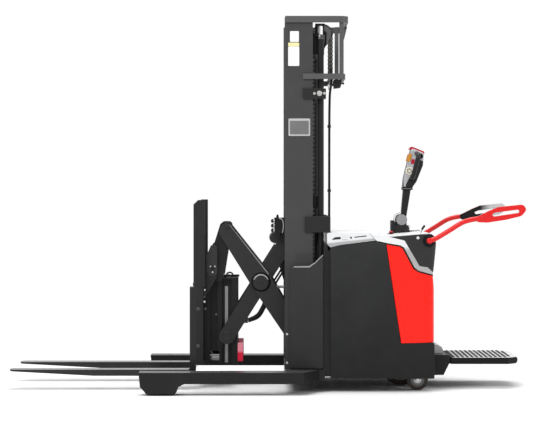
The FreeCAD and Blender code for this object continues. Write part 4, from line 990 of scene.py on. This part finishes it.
def tube_along(bm, line, y, radius, segments=28):
    """Bent bar in an upright plane with a domed start."""
    fine = []
    for i, point in enumerate(line[:-1]):
        around = [Vector(line[min(max(k, 0), len(line) - 1)]) for k in range(i - 1, i + 3)]
        p0, p1, p2, p3 = around
        for step in range(6):
            u = step / 6
            fine.append(0.5 * (2 * p1 + (p2 - p0) * u + (2 * p0 - 5 * p1 + 4 * p2 - p3) * u * u
                               + (3 * p1 - p0 - 3 * p2 + p3) * u * u * u))
    fine.append(Vector(line[-1]))
    first = (fine[1] - fine[0]).normalized()
    path = [(fine[0] - first * radius * math.sin(a), radius * math.cos(a))
            for a in (1.35, 1.0, 0.6, 0.25)] + [(p, radius) for p in fine]
    rings = []
    for i, (point, r) in enumerate(path):
        along = (path[min(i + 1, len(path) - 1)][0] - path[max(i - 1, 0)][0]).normalized()
        across = Vector((-along.y, along.x))
        ring = []
        for step in range(segments):
            turn = math.tau * step / segments
            place = point + across * r * math.cos(turn)
            ring.append(bm.verts.new((place.x * MM, (y + r * math.sin(turn)) * MM,
                                      place.y * MM)))
        rings.append(ring)
    bm.faces.new(rings[0])
    bm.faces.new(rings[-1])
    for one, two in zip(rings, rings[1:]):
        for i in range(segments):
            bm.faces.new((one[i - 1], one[i], two[i], two[i - 1]))


def guard_arms():
    """Red folding arms with their padded paddles, on black pivot bosses."""
    def placed(line):
        return [(GUARD_PIVOT[0] + c[0], GUARD_PIVOT[1] + c[1]) + tuple(c[2:]) for c in line]

    for side, s in SIDES:
        bm = bmesh.new()
        tube_along(bm, placed(GUARD_TUBE), s * GUARD_Y, GUARD_R)
        prism(bm, "XZ", placed(PADDLE), s * 441, s * 463.5, placed(PADDLE_SLOT))
        lathed(bm, GUARD_PIVOT, PIVOT_DOME, 40, s)
        for line, hole, inner in ((PADDLE_PAD, None, 432.2), (PADDLE, PADDLE_SLOT, 436.4)):
            before = len(bm.faces)
            prism(bm, "XZ", placed(line), s * inner, s * 441.4, hole and placed(hole))
            tint(bm, before, PAD)
        before = len(bm.faces)
        lathed(bm, GUARD_PIVOT, [
            (12.1, 430.6), (27.6, 430.6), (29, 432), (29, 449), (27, 451), (12.1, 451)], 48, s)
        tint(bm, before, PAD)
        made = piece("guard_arm_shaped_" + side, bm, "arm_red pad", "guard_arm_" + side, 1.2)
        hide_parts("guard_arm_" + side)


def tiller_fittings():
    """Dials, rockers, switches, rings and collar line on the tiller; block and a bright arc at its
    foot, the arc a painted highlight on the yoke's edge.
    """
    dials, dots, ambers, reds, rings, lines = (bmesh.new() for _ in range(6))
    for side, s in SIDES:
        turned(dials, "Y", (868, s * 52, 1298), [
            (24, -1.5), (24, 2), (22, 3.6), (18, 3.6), (17, 2.6), (0, 2.6)], 40, s)
        for step in range(8):
            turn = math.tau * step / 8
            place = (868 + 12 * math.cos(turn), s * 54.5, 1298 + 12 * math.sin(turn))
            turned(dots, "Y", place, [(3.2, -0.4), (3.2, 0.8), (2, 1.5), (0, 1.6)], 12, s)
        prism(ambers, "XZ", [(852, 1358, 5), (872, 1356, 5), (884, 1398, 5), (866, 1404, 5)],
              s * 46, s * 58)
        prism(reds, "XZ", [(876, 1340, 4), (896, 1342, 4), (900, 1368, 4), (882, 1370, 4)],
              s * 46, s * 56)
        turned(rings, "Y", (934, s * 50, 1388), [
            (17, -2), (17, 3), (15, 5), (12, 5), (10, 2), (0, 2)], 32, s)
        block(lines, 824.6, 889.4, s * 33, s * 34.8, 1190, 1194)
    prism(reds, "XZ", [(866, 1424, 3), (872, 1441, 6), (884, 1446, 5), (956, 1417, 8),
                       (962, 1402, 3), (950, 1402), (880, 1430)], -44, 44)
    piece("tiller_dials", dials, "cream", "tiller_arm", 0.4)
    piece("tiller_dots", dots, "plastic", "tiller_arm")
    piece("tiller_rockers", ambers, "amber", "tiller_arm", 1.5)
    piece("tiller_switches", reds, "crimson", "tiller_arm", 1.5)
    piece("tiller_rings", rings, "rubber", "tiller_arm")
    piece("tiller_line", lines, "label_field", "tiller_arm")
    bm = bmesh.new()
    block(bm, 757, 786, -45, 45, 932, 998)
    piece("tiller_block", bm, "plastic", "tiller_base", 2.0)
    # bright metal arc only where the yoke's edge catches light: a painted highlight
    bm = bmesh.new()
    for side, s in SIDES:
        line = [(TILLER_PIVOT[0] + r * math.cos(math.radians(a)),
                 TILLER_PIVOT[1] + r * math.sin(math.radians(a)))
                for r, sweep in ((43.5, range(95, 201, 7)), (40, range(200, 94, -7)))
                for a in sweep]
        prism(bm, "XZ", line, s * 52, s * 58)
        turned(bm, "Z", (866, s * 50, 962), [(7, -4), (7, 4), (5, 7), (0, 7.6)], 20)
    piece("tiller_arc_highlight", bm, "zinc", "tiller_base", 0.5)


def wheel_hubs():
    """Nutted cap on the drive wheel's free side and dust caps on the casters' cheeks."""
    bm = bmesh.new()
    turned(bm, "Y", (816, -37.5, 115), [
        (78, 1), (78, -3), (70, -5), (46, -3), (38, -6), (30, -8), (0, -8.4)], 48)
    for step in range(6):
        turn = math.tau * step / 6
        turned(bm, "Y", (816 + 57 * math.cos(turn), -41, 115 + 57 * math.sin(turn)), [
            (9, 0.5), (9, -4), (7, -6), (4, -6), (4, -9), (0, -9.4)], 6)
    piece("drive_hub", bm, "dark_steel", "drive_wheel")
    for side, s in SIDES:
        bm = bmesh.new()
        for t in (-1, 1):
            turned(bm, "Y", (895, s * 290 + t * 33, 62), [
                (12, -0.5), (12, 4), (9, 7), (0, 7.4)], 6, t)
            turned(bm, "Y", (895, s * 290 + t * 22, 62), [
                (20, -0.5), (20, 2), (16, 3.5), (12, 3.5)], 24, t)
        piece("caster_nuts_" + side, bm, "zinc", "caster_fork_" + side)


# the photograph in pixels, with the horizon's height over its middle, and its camera in metres
PHOTO_WIDTH, FOCAL_LENGTH, HORIZON = 533, 1813, 24
CAMERA_AWAY, CAMERA_HEIGHT = 11.025, 1.201
SENSOR = 36


def camera():
    """The photograph's camera: level and square on, its lens from the pixels per metre."""
    data = bpy.data.cameras.new("camera")
    data.sensor_width = SENSOR
    data.lens = SENSOR * FOCAL_LENGTH / PHOTO_WIDTH
    data.shift_y = -HORIZON / PHOTO_WIDTH
    data.shift_x = 0.0009
    data.clip_end = 200
    obj = put("camera", data)
    obj.location = (0, -CAMERA_AWAY, CAMERA_HEIGHT)
    obj.rotation_euler = (math.radians(90), 0, 0)
    bpy.context.scene.camera = obj


def shown_rays(tree):
    """1 for the rays that show the stage: camera, glossy and transmission."""
    path = tree.nodes.new("ShaderNodeLightPath")
    result = path.outputs["Is Camera Ray"]
    for ray in ("Is Glossy Ray", "Is Transmission Ray"):
        either = tree.nodes.new("ShaderNodeMath")
        either.operation = "MAXIMUM"
        tree.links.new(result, either.inputs[0])
        tree.links.new(path.outputs[ray], either.inputs[1])
        result = either.outputs[0]
    return result


def backdrop():
    """Pale floor that takes the shadow near the object and is plain white farther off."""
    mat, tree, bsdf = new_tree("stage_floor")
    g = Graph(tree)
    tone = g.mix(g.ramp(g.noise(1.3, 3), 0, 1, 0.3, 0.7), (0.95, 0.95, 0.95, 1),
                 (0.96, 0.96, 0.96, 1))
    g.feed(bsdf.inputs["Base Color"], tone)
    bsdf.inputs["Roughness"].default_value = 0.9
    bsdf.inputs["Specular IOR Level"].default_value = 0.05
    reach = g.node("ShaderNodeVectorMath", Vector=g.stretch(0.62, 1, 0))
    reach.operation = "LENGTH"
    far = g.ramp(reach.outputs["Value"], 0, 1, 1.05, 2.1)
    white = g.node("ShaderNodeEmission", Color=(1, 1, 1, 1), Strength=1.0)
    join(tree, g.math("MULTIPLY", far, shown_rays(tree)), bsdf.outputs[0], white.outputs[0],
         tree.nodes["Material Output"].inputs["Surface"])
    mesh = bpy.data.meshes.new("stage_floor")
    size = 40
    mesh.from_pydata([(-size, -size, 0), (size, -size, 0), (size, size, 0), (-size, size, 0)],
                     [], [(0, 1, 2, 3)])
    mesh.materials.append(mat)
    floor = put("stage_floor", mesh)


def join(tree, factor, one, two, output):
    """Mixes two shaders by a factor into the output."""
    mix = tree.nodes.new("ShaderNodeMixShader")
    for index, socket in enumerate((factor, one, two)):
        tree.links.new(socket, mix.inputs[index])
    tree.links.new(mix.outputs[0], output)


def world(strength):
    """Soft light all round that shows as plain white."""
    made = bpy.data.worlds.new("studio")
    bpy.context.scene.world = made
    made.use_nodes = True
    tree = made.node_tree
    tree.nodes.clear()
    out = tree.nodes.new("ShaderNodeOutputWorld")
    light = tree.nodes.new("ShaderNodeBackground")
    shown = tree.nodes.new("ShaderNodeBackground")
    light.inputs["Color"].default_value = (0.98, 0.99, 1.0, 1)
    light.inputs["Strength"].default_value = strength
    shown.inputs["Color"].default_value = (1, 1, 1, 1)
    shown.inputs["Strength"].default_value = 1.0
    join(tree, shown_rays(tree), light.outputs[0], shown.outputs[0], out.inputs[0])


def lamp(name, where, at, size, power):
    data = bpy.data.lights.new(name, "AREA")
    data.shape = "RECTANGLE"
    data.size, data.size_y = size
    data.energy = power
    obj = put(name, data)
    obj.location = where
    obj.rotation_mode = "QUATERNION"
    obj.rotation_quaternion = (Vector(at) - Vector(where)).to_track_quat("-Z", "Y")


# name, place, point it looks at and size in metres, power in watts
LAMPS = [
    ("key", (-2.5, -5.0, 5.5), (0, 0, 0.9), (4, 3), 290),
    ("top", (0.3, 0.5, 6.5), (0, 0, 0.5), (5, 4), 330),
    ("side", (5.5, -2.0, 2.5), (0.5, 0, 0.8), (2.5, 2.5), 80),
]
AMBIENT = 0.45

camera()
backdrop()
world(AMBIENT)
for name, where, at, size, power in LAMPS:
    lamp(name, where, at, size, power)
bolts()
chains()
labels()
mast_fittings()
anchor_nuts()
outer_arms()
reach_fittings()
controls()
guard_arms()
body_fittings()
tiller_fittings()
wheel_hubs()
bpy.context.scene.view_settings.view_transform = "Standard"

bpy.context.view_layer.update()
